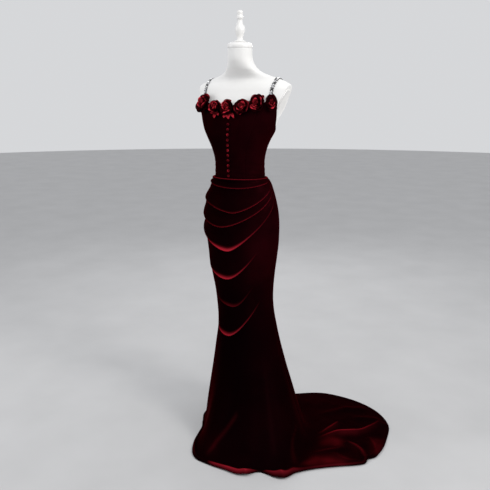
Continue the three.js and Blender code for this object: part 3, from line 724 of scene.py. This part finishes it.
def lower_rows(angles):
    """From the top of the flare over the turn onto the floor to the hem and its turned-up edge."""
    rows = []
    out = ring_out(angles)
    for t in np.linspace(0, FILLET_AT, 40)[1:]:
        p = flare_point(t, angles)
        swell = flutes(angles) * (0.35 + 0.65 * float(smooth(0, 0.8, t)))
        rows.append((p + out * (swell + faint_wave(p))[..., None], crease_glow(t, angles)))
    p0, p1, p2, hem = floor_points(angles)
    swell0 = flutes(angles) + faint_wave(p0)
    for turn in np.linspace(0, 1, 15)[1:]:
        u = 1 - turn
        p = u * u * p0 + 2 * u * turn * p1 + turn * turn * p2
        p = p + out * (swell0 * u**1.2)[..., None]
        p[..., 2] += np.maximum(flutes(angles), 0) * turn * u * 1.2
        rows.append((p, crease_glow(FILLET_AT + 0.14 * turn, angles)))
    run = np.linalg.norm(hem - p2, axis=-1)
    roll_high = look_up(HEM_ROLL, "high", wrap(angles)) * smooth(4, 14, run)
    roll_highlight = np.clip(look_up(HEM_HIGHLIGHT, "highlight", wrap(angles)), 0, 1)
    for q in np.linspace(0, 1, 84)[1:]:
        lie = 1 - (1 - q) ** 1.7
        p = p2 + (hem - p2) * lie
        rough = undulation(p[..., 0], p[..., 1], 120.0) + 0.5 * undulation(p[..., 1], p[..., 0], 47.0)
        room = smooth(20, 160, run) * float(smooth(0, 0.2, lie)) * (1 - 0.6 * float(smooth(0.9, 1, lie)))
        start = float(smooth(0, 0.35, lie))
        high, highlight = fold_relief(p[..., 0], p[..., 1])
        left = (1 - lie) * run
        centre = 8 + 0.3 * roll_high + 1.6 * np.sin(np.radians(angles) * 9.0)
        roll = bell((left - centre) / (5.5 + 0.12 * roll_high))
        height = high * start + np.maximum(0, 2.6 * rough + 1.8) * room
        height = height * (1 - 0.5 * bell(left / 14)) + roll_high * roll
        p = p + np.stack([0 * height, 0 * height, height], -1)
        # painted highlight along the top of the rolled hem
        edge = 0.27 * roll_highlight * bell((left - centre + 2.5) / (2.6 + 0.12 * roll_high))
        rows.append((p, np.clip(highlight * start + edge, 0, 1)))
    # the turned-up hem: round edge with a faint painted highlight, then back under the cloth
    last = p
    radial = polar(1, angles)
    for turn in np.linspace(90, -90, 8)[1:]:
        c, s = cos_sin(turn)
        p = last + radial * (1.6 * c)
        p[..., 2] = last[..., 2] - 0.9 + 0.9 * s
        rows.append((p, 0.04 * roll_highlight))
    p = last - radial * np.minimum(18, 0.5 * run)[..., None]
    p[..., 2] = np.maximum(last[..., 2] - 1.9, 0.5)
    rows.append((p, 0.0))
    return rows


def back_panel(first, last, count):
    angles = spaced(first, last, count)
    # painted highlight on the waist roll at the back
    rows = rolled_edge(angles, 0.24, 1.0)
    for z in np.concatenate([np.linspace(1072, 1030, 9), np.linspace(1020, FLARE_Z, 78)]):
        rows.append((skirt_ring(z, angles) + ring_out(angles) * soft_body(z, angles)[..., None], 0.0))
    return angles, rows + lower_rows(angles)


def seam_dip(points, depth, spread=4.0):
    """A sewn seam draws the cloth in along its two edges."""
    run = np.cumsum(lengths(points, 1), axis=1)
    run = np.concatenate([np.zeros((points.shape[0], 1)), run], axis=1)
    dip = depth * np.exp(-((run / spread) ** 2)) + depth * np.exp(-(((run[:, -1:] - run) / spread) ** 2))
    level = np.clip((points[..., 2] - 3) / 20, 0, 1)
    return points - grid_normal(points) * (dip * level)[..., None]


# painted light round the skirt and round the bodice: 1 keeps the cloth's own tone, lower values paint shade
# towards near black
PAINTED_LIGHT = table(["angle", "skirt", "bodice"], [
    [-90, 0.22, 0.40], [-40, 0.15, 0.38], [0, 0.22, 0.62], [20, 0.42, 0.85], [40, 0.85, 1.0],
    [60, 1.0, 1.0], [100, 1.0, 1.0], [180, 0.8, 0.9], [270, 0.22, 0.40],
])


def skirt_painted_shade(points, angles):
    """Painted shade: how far the cloth is painted towards near black, on the side away from the lamps, low
    on the skirt and on the floor.
    """
    z = points[..., 2]
    lit_share = look_up(PAINTED_LIGHT, "skirt", wrap(angles)) * (0.25 + 0.75 * smooth(420, 800, z))
    on_floor = 1 - smooth(30, 120, z)
    return 1 - (lit_share * (1 - on_floor) + 0.18 * on_floor)


def make_skirt():
    plan = [
        ("skirt_front_cloth", "skirt_front", front_panel()),
        ("skirt_back_left_cloth", "skirt_back_left", back_panel(SIDE_LEFT, 180, 190)),
        ("skirt_back_right_cloth", "skirt_back_right", back_panel(180, 270, 96)),
    ]
    for name, node, (angles, rows) in plan:
        points = seam_dip(np.stack([p for p, glow in rows]), 0.9)
        painted_highlight = np.stack([glow + 0 * angles for p, glow in rows])
        obj = grid_object(name, points, {"painted_highlight": painted_highlight, "painted_shade": skirt_painted_shade(points, angles)})
        assign(obj, MAT_VELVET)
        stand_for(obj, node)


make_skirt()


# bodice
def neckline_z(angle):
    a = np.abs((np.asarray(angle, float) + 180) % 360 - 180)
    return look_up(NECKLINE, "z", a)


def make_bodice():
    panels = [
        ("bodice_side_front_right", -90, -PRINCESS_ANGLE),
        ("bodice_front_right", -PRINCESS_ANGLE, 0),
        ("bodice_front_left", 0, PRINCESS_ANGLE),
        ("bodice_side_front_left", PRINCESS_ANGLE, 90),
        ("bodice_back_left", 90, 180),
        ("bodice_back_right", 180, 270),
    ]
    for node, first, last in panels:
        angles = spaced(first, last, 44, 0.25)
        top = neckline_z(angles)
        rows = []
        # the facing inside the top edge, the turned edge, then the outside down to the waist
        for below in (22, 2):
            rows.append(body_point(top - below, angles) - body_normal(top - below, angles) * 2.2)
        n = body_normal(top, angles)
        for turn in np.linspace(180, 0, 7):
            c, s = cos_sin(turn)
            p = body_point(top - 1.2, angles) + n * (-1.1 + 1.1 * c)
            p[..., 2] += 1.2 * s
            rows.append(p)
        for s in np.linspace(0, 1, 76)[1:]:
            z = top - 1.2 + (BODICE_BOTTOM_Z - top + 1.2) * s
            pull = 0.35 * undulation(angles * 2.2 + 0 * z, z * 0.5, 18.0)
            waist = bell((z - 1118) / 30) * 0.5 * np.sin(z / 3.4 + 0.06 * angles)
            p = body_point(z, angles) + body_normal(z, angles) * (pull + waist - 0.1)[..., None]
            rows.append(p)
        points = np.stack(rows)
        dipped = seam_dip(points, 1.5, 2.6)
        dipped[:9] = points[:9]
        # painted highlight along the turned top edge
        edge_highlight = np.zeros(points.shape[:2])
        edge_highlight[3:8] = 0.35
        # painted shade: darker on the side away from the lamps
        painted_shade = 1 - look_up(PAINTED_LIGHT, "bodice", wrap(angles))
        obj = grid_object(node + "_cloth", dipped, {"painted_highlight": edge_highlight, "painted_shade": painted_shade})
        assign(obj, MAT_VELVET)
        stand_for(obj, node)


make_bodice()


# dress form
def ring_object(name, rings, material_used):
    """A closed body from a stack of rings, with flat ends."""
    count = len(rings[0])
    faces = tube_faces(len(rings), count)
    faces.append(tuple(reversed(range(count))))
    faces.append(tuple(range((len(rings) - 1) * count, len(rings) * count)))
    obj = new_object(name, np.array([p for ring in rings for p in ring]) / 1000, faces)
    assign(obj, material_used)
    return obj


def smoothed_profile(points, per=5):
    pts = np.array(points, float)
    out = []
    for i in range(len(pts) - 1):
        p0 = pts[max(i - 1, 0)]
        p1 = pts[i]
        p2 = pts[i + 1]
        p3 = pts[min(i + 2, len(pts) - 1)]
        for k in range(per):
            t = k / per
            m1 = (p2 - p0) * 0.5
            m2 = (p3 - p1) * 0.5
            h = (2 * t**3 - 3 * t**2 + 1) * p1 + (t**3 - 2 * t**2 + t) * m1
            h = h + (-2 * t**3 + 3 * t**2) * p2 + (t**3 - t**2) * m2
            out.append(h)
    out.append(pts[-1])
    return np.array(out)


def turned(name, node, slot_name, material_used, segments, per, profile):
    prof = smoothed_profile(profile, per) if per > 1 else np.array(profile, float)
    prof[:, 0] = np.maximum(prof[:, 0], 0.02)
    rings = [round_axis(r, full_turn(segments), z) for r, z in prof]
    stand_for(ring_object(name, rings, material_used), node)


# turned pieces: name, node, slot, material, points round, steps between the rows of the profile,
# profile (radius, height)
TURNED = [
    ("form_neck_cap_turned", "form_neck_cap", "form_fittings", MAT_FITTING, 64, 5, [
        (46.5, 1577.4), (47.5, 1577.6), (48.6, 1580), (49, 1584), (48.6, 1588),
        (46, 1593), (39, 1597), (30, 1599.4), (14, 1599.9), (0, 1600),
    ]),
    ("form_finial_turned", "form_finial", "form_fittings", MAT_FITTING, 64, 5, [
        (22, 1600.4), (23, 1601), (23, 1603.5), (17, 1605.5), (12.5, 1608.5), (11.2, 1613), (12, 1619),
        (15, 1628), (18, 1638), (19, 1646), (17.5, 1654), (13.5, 1663), (10.2, 1671), (8.8, 1678),
        (9.5, 1683), (12.6, 1687), (12.8, 1692), (10.8, 1698), (10.6, 1702), (11.6, 1707), (10.6, 1713),
        (6.5, 1716.3), (0, 1717),
    ]),
    ("form_pole_tube", "form_pole", "stand_paint", MAT_PAINT, 40, 1, [
        (12.5, 40.4), (12.5, 300), (12.5, 560), (12.5, 799.6),
    ]),
    ("form_base_plate", "form_base", "stand_paint", MAT_PAINT, 96, 1, [
        (139, 0), (140, 1), (140, 6), (139.3, 7.4), (138, 8), (24, 8),
        (21.6, 8.8), (21, 11), (21, 37), (20.4, 39.2), (19, 40), (0, 40),
    ]),
]

# the flat of the shoulder: half width at its foot, foot, slope
PLATE_HALF_WIDTH = 155
PLATE_FOOT = 1300
PLATE_SLOPE = (203 - PLATE_HALF_WIDTH) / (1440 - PLATE_FOOT)
# arm plate: half length, half width, height of its middle
PLATE_UP = 60
PLATE_ACROSS = 29
PLATE_Z = 1368
# section of an arm plate: share of its size, height over the shoulder's flat
PLATE_SECTION = [
    (1, 0.3), (1.0, 1.6), (0.99, 2.6), (0.965, 3.2), (0.93, 3.3),
    (0.915, 2.9), (0.90, 2.6), (0.5, 2.7), (0.06, 2.8),
]


def plate_x(z):
    return PLATE_HALF_WIDTH + PLATE_SLOPE * (z - PLATE_FOOT)


def make_form():
    levels = np.concatenate([
        np.linspace(800, 806, 3),
        np.linspace(812, 1060, 40),
        np.linspace(1066, 1400, 90),
        np.linspace(1403, 1510, 70),
        np.linspace(1512, 1577, 20),
    ])
    angles = np.linspace(0, 360, 160, endpoint=False)
    rings = []
    for z in levels:
        inset = FORM_INSET * (1 - float(smooth(1375, 1460, z)))
        if z < 806:
            inset += 2.0 * (1 - (z - 800) / 6) ** 2
        p = body_point(np.full_like(angles, z), angles, inset)
        seam = np.minimum(np.abs((angles + 180) % 360 - 180), np.abs(angles - 180))
        p = p - ring_out(angles) * (0.5 * bell(seam / 0.9))[..., None]
        if z > 1290:
            limit = plate_x(z)
            over = np.abs(p[:, 0]) - limit
            flat = np.clip(p[:, 0], -limit, limit)
            edge = smooth(-3, 1, over)
            drawn_in = 0.35 * edge * (1 - smooth(1, 4, over))
            p[:, 0] = np.where(over > 0, flat, p[:, 0]) - np.sign(p[:, 0]) * drawn_in
        rings.append(p)
    torso = ring_object("form_torso_shell", rings, MAT_FORM)
    stand_for(torso, "form_torso")

    tilt = math.atan(PLATE_SLOPE)
    lean = math.radians(15)
    for side, node in ((1, "form_arm_plate_left"), (-1, "form_arm_plate_right")):
        out = np.array([side * math.cos(tilt), 0, -math.sin(tilt)])
        level = math.cos(lean)
        up = np.array([side * math.sin(tilt) * level, math.sin(lean), math.cos(tilt) * level])
        across = np.cross(up, out)
        centre = np.array([side * plate_x(PLATE_Z), 17, PLATE_Z])
        turns = full_turn(72)
        rings = []
        for share, lift in PLATE_SECTION:
            e = np.cos(turns)[:, None] * up * PLATE_UP * share
            e = e + np.sin(turns)[:, None] * across * PLATE_ACROSS * share
            rings.append(centre + e + out * lift)
        stand_for(ring_object(node + "_disc", rings, MAT_FITTING), node)

    for row in TURNED:
        turned(*row)
    return torso


torso_shell = make_form()


# straps: half distance between the straps (mm) by the turn over the shoulder, from the front
STRAP_X = table(["turn", "x"], [
    [0, 147], [20, 147], [60, 150], [90, 151], [120, 142], [150, 124], [180, 106], [225, 84],
])
# in metres: distance between the main stones, height of the stones over the form
STONE_PITCH = 0.0098
STONE_LIFT = 0.0012
# radius and height in metres, sides, place across the strap in mm
MAIN_STONE = (0.0034, 0.0030, 8)
SIDE_STONE = (0.0024, 0.0026, 6)
SIDE_STONES_AT = 4.9
WIRES_AT = 3.6
WIRE_RADIUS = 0.0006


def make_straps():
    corners = [v.co.copy() for v in torso_shell.data.vertices]
    tree = BVHTree.FromPolygons(corners, [tuple(p.vertices) for p in torso_shell.data.polygons])

    def on_form(side, turn, across):
        x = side * (float(look_up(STRAP_X, "x", turn)) + across)
        c, s = cos_sin(turn)
        way = Vector((0, -c, s))
        start = Vector((x / 1000, 0.030, 1.330))
        # from outside inwards, so that the outer side of the shell is met
        return tree.ray_cast(start + way * 0.5, -way, 0.5)[0], way

    for side, node in ((1, "strap_left"), (-1, "strap_right")):
        low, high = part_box(node)
        ends = []
        for from_turn, to_turn, y_side in ((0.0, 60.0, -1), (250.0, 140.0, 1)):
            a = from_turn
            b = to_turn
            limit = low[2] if y_side > 0 else float(neckline_z(np.array(50.0))) / 1000 + 0.002
            for _ in range(30):
                middle = (a + b) / 2
                hit, _way = on_form(side, middle, 0)
                if hit is not None and hit.z > limit:
                    b = middle
                else:
                    a = middle
            ends.append(b)
        verts = []
        faces = []
        kinds = []

        def frame_at(turn, across):
            p, way = on_form(side, turn, across)
            f, _ = on_form(side, min(turn + 1.2, ends[1]), across)
            g, _ = on_form(side, max(turn - 1.2, ends[0]), across)
            q, _ = on_form(side, turn, across + 1.5)
            r, _ = on_form(side, turn, across - 1.5)
            t = (f - g).normalized()
            s = (q - r).normalized()
            n = t.cross(s).normalized()
            if n.dot(way) < 0:
                n.negate()
            s = n.cross(t).normalized()
            return p, t, s, n

        def stone(p, t, s, n, radius, height, sides, kind_stone):
            """A faceted stone: girdle, crown and table, in a low metal cup."""
            start = len(verts)
            cup = [(1.12, 0.0), (1.16, 0.35), (1.02, 0.42)]
            gem = [(1.0, 0.40), (0.96, 0.55), (0.55, 1.0)]
            for k, (rr, hh) in enumerate(cup + gem):
                for j in range(sides):
                    a = 2 * math.pi * (j + (0.5 if k == 4 else 0)) / sides
                    flat = t * (radius * rr * math.cos(a)) + s * (radius * rr * math.sin(a))
                    verts.append(p + flat + n * (height * hh))
            faces.extend(tube_faces(6, sides, start))
            faces.append(tuple(start + 5 * sides + j for j in range(sides)))
            faces.append(tuple(start + j for j in reversed(range(sides))))
            kinds.extend([0] * (2 * sides) + [kind_stone] * (3 * sides + 1) + [0])

        # walk along the strap in even steps
        samples = np.linspace(ends[0], ends[1], 500)
        path = [on_form(side, t, 0)[0] for t in samples]
        run = np.concatenate([[0], np.cumsum([(b - a).length for a, b in zip(path, path[1:])])])
        length = run[-1]
        count = int(length / STONE_PITCH)

        def frame_along(at, across):
            return frame_at(float(np.interp(at, run, samples)), across)

        rng = np.random.RandomState(11 + side)
        for k in range(count):
            at = (k + 0.5) * length / count
            p, t, s, n = frame_along(at, 0)
            # each stone takes the painted sparkle or the painted shade copy of the crystal at random
            stone(p + n * STONE_LIFT, t, s, n, *MAIN_STONE, 1 if rng.uniform() < 0.75 else 2)
            for across in (-SIDE_STONES_AT, SIDE_STONES_AT):
                between = at + (0.5 + rng.uniform(-0.12, 0.12)) * length / count
                p, t, s, n = frame_along(between, across)
                stone(p + n * STONE_LIFT, t, s, n, *SIDE_STONE, 2 if rng.uniform() < 0.75 else 1)
        # two wires under the stones
        for across in (-WIRES_AT, WIRES_AT):
            ring_start = len(verts)
            steps = 120
            for k in range(steps + 1):
                p, t, s, n = frame_along(length * k / steps, across)
                for j in range(5):
                    a = 2 * math.pi * j / 5
                    wire = n * (0.0004 + WIRE_RADIUS * math.sin(a)) + s * (WIRE_RADIUS * math.cos(a))
                    verts.append(p + n * STONE_LIFT + wire)
            faces.extend(tube_faces(steps + 1, 5, ring_start))
            kinds.extend([0] * (5 * steps))
        obj = new_object(node + "_jewels", verts, faces, False)
        assign(obj, MAT_SILVER, MAT_CRYSTAL_PAINTED_SPARKLE, MAT_CRYSTAL_SHADE)
        obj.data.polygons.foreach_set("material_index", kinds)
        stand_for(obj, node)


make_straps()


# roses
PETAL_THICKNESS = 0.55


def basis(n):
    n = np.array(n, float)
    up = np.array([0, 0, 1.0])
    v = up - n * n.dot(up)
    v /= np.linalg.norm(v)
    u = np.cross(v, n)
    return u, v, n


def petal(radius, height, spread, open_out, curl, seed, rows=12, cols=15):
    """One cupped petal round the axis: across by turn, up by height, with its edge rolled back."""
    rng = np.random.RandomState(seed)
    tip = rng.uniform(0.0, 0.15)
    sway = rng.uniform(-0.15, 0.15)
    v = np.linspace(0, 1, rows)[:, None]
    u = np.linspace(-1, 1, cols)[None, :]
    outline = 1 - 0.38 * np.abs(u) ** 2.4 - tip * 0.35 * np.abs(u)
    roll = np.clip((v - 0.72) / 0.28, 0, 1)
    h = height * v * outline - curl * radius * 0.5 * roll**2.0 * (1 - 0.3 * u * u)
    r = radius * (0.40 + 0.60 * np.sin(np.minimum(1, v * 1.2) * np.pi / 2)) + open_out * radius * v**2.2
    r = r + curl * radius * roll**1.3 + radius * 0.05 * np.sin(3.1 * u + seed) * v * v
    r = r * (1 + 0.05 * u * (1 if seed % 2 else -1))
    a = u * spread * (0.70 + 0.30 * np.sin(v * np.pi * 0.75)) * (1 - 0.18 * v * v) + sway * v
    verts = round_axis(r, a, h)
    # painted highlight on the upper edge and sides of the petals drawn lit; the other petals stay dark
    edge = np.maximum(np.clip((v - 0.55) / 0.35, 0, 1), 0.6 * np.clip((np.abs(u) - 0.82) / 0.18, 0, 1) * v)
    streak = 0.65 + 0.35 * np.sin(5 * u + seed)
    lit = 1.0 if rng.uniform() < 0.34 else 0.03
    return verts, edge * streak * lit


def rose_mesh(radius, height, seed):
    """A rolled heart and four rounds of petals."""
    parts = []
    rng = np.random.RandomState(seed)
    v = np.linspace(0, 1, 8)[:, None]
    a = np.linspace(0, 4.4 * math.pi, 72)[None, :]
    wide = a / (4.4 * math.pi)
    r = radius * (0.05 + 0.27 * wide) * (0.78 + 0.25 * v)
    h = height * (0.45 + 0.55 * v - 0.12 * wide * v) + 0.02 * height * np.sin(3 * a) * v
    heart = round_axis(r, a, h)
    # painted highlight on the top of the heart
    parts.append((heart, np.broadcast_to(0.25 * v**4, heart.shape[:2])))
    turn = rng.uniform(0, 6.28)
    rounds = [
        # petals, radius, height, half spread in turns, opening, curl, painted highlight on the edges
        (3, 0.42, 0.97, 1.25, 0.05, 0.10, 1.0),
        (4, 0.57, 0.92, 1.05, 0.10, 0.15, 0.9),
        (5, 0.76, 0.80, 0.95, 0.16, 0.20, 0.75),
        (5, 0.96, 0.60, 0.98, 0.20, 0.20, 0.2),
    ]
    for k, (number, r_share, h_share, spread, open_out, curl, highlight) in enumerate(rounds):
        for n in range(number):
            verts, glow = petal(
                radius * r_share / (1 + open_out + curl * 0.6),
                height * h_share * rng.uniform(0.92, 1.06),
                spread,
                open_out * rng.uniform(0.7, 1.3),
                curl * rng.uniform(0.7, 1.3),
                seed * 31 + k * 7 + n,
            )
            a = turn + 2 * math.pi * (n + 0.5 * (k % 2)) / number + rng.uniform(-0.12, 0.12)
            c = math.cos(a)
            s = math.sin(a)
            x = verts[..., 0] * c - verts[..., 1] * s
            y = verts[..., 0] * s + verts[..., 1] * c
            parts.append((np.stack([x, y, verts[..., 2]], -1), glow * highlight))
    return parts


def hanging_petal(length, width, tilt, seed):
    """A loose pointed petal that hangs below a rose."""
    rows = 14
    cols = 11
    v = np.linspace(0, 1, rows)[:, None]
    u = np.linspace(-1, 1, cols)[None, :]
    wide = width * np.maximum(0.05, np.sin(np.minimum(1, 0.22 + 0.80 * v) * np.pi)) ** 0.8
    x = u * wide + tilt * v * length
    y = -length * v + 0 * u
    z = 2.5 + 5.0 * np.sin(v * 2.4) - 2.4 * u * u * v + 0.9 * np.sin(3 * u + seed)
    # painted highlight towards the sides and the tip
    return np.stack([x, y, z + 0 * x], -1), np.broadcast_to(0.22 + 0.45 * np.abs(u) * v, (rows, cols))


def sew(parts, place):
    """Joins petal grids into one list of points and faces, each petal given its thickness."""
    verts = []
    faces = []
    glows = []
    for grid, glow in parts:
        n = grid_normal(grid)
        rows, cols = grid.shape[:2]
        start = len(verts)
        for layer in (grid - n * PETAL_THICKNESS / 2, grid + n * PETAL_THICKNESS / 2):
            verts.extend(place(layer.reshape(-1, 3)))
            glows.extend(np.asarray(glow).reshape(-1))
        size = rows * cols
        for i in range(rows - 1):
            for j in range(cols - 1):
                a = start + i * cols + j
                faces += [quad(a, 1, cols), quad(a + size, cols, 1)]
        for j in range(cols - 1):
            a = start + j
            faces += [quad(a, size, 1), quad(a + (rows - 1) * cols, 1, size)]
        for i in range(rows - 1):
            a = start + i * cols
            faces += [quad(a, cols, size), quad(a + cols - 1, size, cols)]
    return verts, faces, glows


# loose petals: rose, place across and up in shares of the radius, length, width, tilt
LOOSE_PETALS = [
    (1, 0.10, -0.85, 19, 8, 0.15),
    (1, 0.60, -0.70, 13, 6, 0.5),
    (2, 0.10, -0.90, 17, 9, -0.5),
    (2, 0.45, -0.85, 22, 9, 0.25),
    (2, 0.95, -0.75, 20, 8, 0.9),
    (3, -0.20, -0.80, 10, 8, 0.1),
]


def make_roses():
    for k, (angle, z, radius, tall, petals, seed) in enumerate(ROSES):
        node = "rose_%d" % (k + 1)
        centre = centre_of(node)
        n = body_normal(np.array(float(z)), np.array(float(angle)))
        height = radius * 1.15
        base = centre - n * height * 0.49
        u, v, n = basis(n)

        def place(points, u=u, v=v, n=n, base=base, tall=tall):
            return [base + p[0] * u + p[1] * v * tall + p[2] * n for p in points]

        parts = rose_mesh(radius * petals, height * 1.08, seed)
        for rose, across, up, length, width, tilt in LOOSE_PETALS:
            if rose == k:
                hang, glow = hanging_petal(length, width, tilt, seed)
                parts.append((hang + np.array([across * radius, up * radius, 0.0]), glow))
        if k == 4:
            # a small bud beside the tallest rose
            for verts, glow in rose_mesh(11.5, 13.0, 33)[:8]:
                parts.append((verts + np.array([21.0, 19.0, 3.0]), glow))
        verts, faces, glows = sew(parts, place)
        obj = new_object(node + "_petals", np.array(verts) / 1000, faces)
        point_values(obj, "painted_highlight", np.array(glows, float))
        assign(obj, MAT_ROSE)
        stand_for(obj, node)


make_roses()


# buttons
# painted highlight on the crown of each covered button
BUTTON_HIGHLIGHT = [0.15, 0.25, 0.6, 0.3, 0.4, 0.5, 0.3, 0.2, 0.45, 0.5, 0.25]
BUTTON_TOP_Z = 1292
BUTTON_BOTTOM_Z = 1094
# radius, height over the seat
BUTTON_PROFILE = [
    (5.0, 0.0), (6.1, 0.5), (6.5, 1.5), (6.4, 2.4), (5.8, 3.5),
    (4.7, 4.5), (3.1, 5.2), (1.5, 5.5), (0.02, 5.55),
]


def make_buttons():
    last = len(BUTTON_HIGHLIGHT) - 1
    for k in range(last + 1):
        node = "button_%d" % (k + 1)
        z = BUTTON_TOP_Z + (BUTTON_BOTTOM_Z - BUTTON_TOP_Z) * k / last
        centre = centre_of(node)
        n = body_normal(np.array(z), np.array(0.0))
        u, v, n = basis(n)
        base = centre - n * 2.75
        profile = smoothed_profile(BUTTON_PROFILE, 2)
        turns = full_turn(32)
        rings = []
        for r, h in profile:
            ripple = 1 + 0.018 * np.sin(9 * turns + k) * (1 if 0.2 < h < 2.5 else 0)
            across = (r * ripple * np.cos(turns))[:, None] * u + (r * ripple * np.sin(turns))[:, None] * v
            rings.append(base + across + h * n)
        obj = ring_object(node + "_covered", rings, MAT_BUTTON)
        # painted highlight near the crown, brighter on one side
        crown_highlight = BUTTON_HIGHLIGHT[k] * (0.6 + 0.4 * np.cos(turns - 1.0 - k))
        glow = np.concatenate([crown_highlight * float(bell((h - 4.6) / 0.8)) for r, h in profile])
        point_values(obj, "painted_highlight", glow)
        stand_for(obj, node)


make_buttons()


# floor, light, camera: metres and degrees
FLOOR_RADIUS = 14
CAMERA_TURN = 31.0
CAMERA_DOWN = 13.2
CAMERA_AWAY = 2.65
CAMERA_ASIDE = 0.0195
CAMERA_HEIGHT = 1.42


def make_stage():
    rim = round_axis(FLOOR_RADIUS, full_turn(96), -0.0006)
    floor = new_object("floor", rim, [tuple(range(len(rim)))], False)
    assign(floor, plain("pale_floor", 3.0, (0.50, 0.50, 0.505), (0.54, 0.54, 0.545), {"Roughness": 0.7})[0])
    world = bpy.data.worlds.new("studio")
    bpy.context.scene.world = world
    world.use_nodes = True
    background = world.node_tree.nodes["Background"]
    set_sockets(background, {"Color": (0.82, 0.83, 0.85, 1), "Strength": 0.82})

    def area(name, turn, height, reach, target, size_xy, power, colour=(1, 1, 1)):
        """turn is the compass angle from the front towards the wearer's left, seen from above."""
        data = bpy.data.lights.new(name, "AREA")
        data.shape = "RECTANGLE"
        data.size = size_xy[0]
        data.size_y = size_xy[1]
        data.energy = power
        data.color = colour
        obj = link_new(name, data)
        a = math.radians(turn)
        place = Vector((reach * math.sin(a), -reach * math.cos(a), height))
        obj.location = place
        way = Vector(target) - place
        obj.rotation_euler = way.to_track_quat("-Z", "Y").to_euler()

    area("key", 78, 2.5, 2.9, (0.0, 0.0, 0.8), (0.9, 1.5), 50, (1.0, 0.985, 0.96))
    area("strip_left", -58, 1.9, 2.7, (0.0, 0.0, 0.75), (0.45, 1.6), 20)
    area("top", 40, 3.5, 0.9, (0.1, 0.0, 0.6), (1.0, 1.0), 10)
    area("behind", 205, 1.9, 2.8, (0.2, 0.1, 0.0), (1.2, 0.8), 12)


make_stage()


def make_camera():
    azimuth = math.radians(CAMERA_TURN)
    pitch = math.radians(CAMERA_DOWN)
    right = Vector((math.cos(azimuth), math.sin(azimuth), 0))
    look = Vector((-math.sin(azimuth), math.cos(azimuth), 0))
    data = bpy.data.cameras.new("camera")
    data.sensor_width = 36
    data.lens = 660 / 490 * 36
    data.clip_end = 60
    obj = link_new("camera", data)
    place = right * CAMERA_ASIDE - look * CAMERA_AWAY
    place.z = CAMERA_HEIGHT
    ahead = (look * math.cos(pitch) + Vector((0, 0, -math.sin(pitch)))).normalized()
    over = right.cross(ahead).normalized()
    turn = Matrix((right, over, -ahead)).transposed()
    obj.matrix_world = Matrix.Translation(place) @ turn.to_4x4()
    bpy.context.scene.camera = obj


make_camera()
bpy.context.scene.view_settings.view_transform = "Standard"
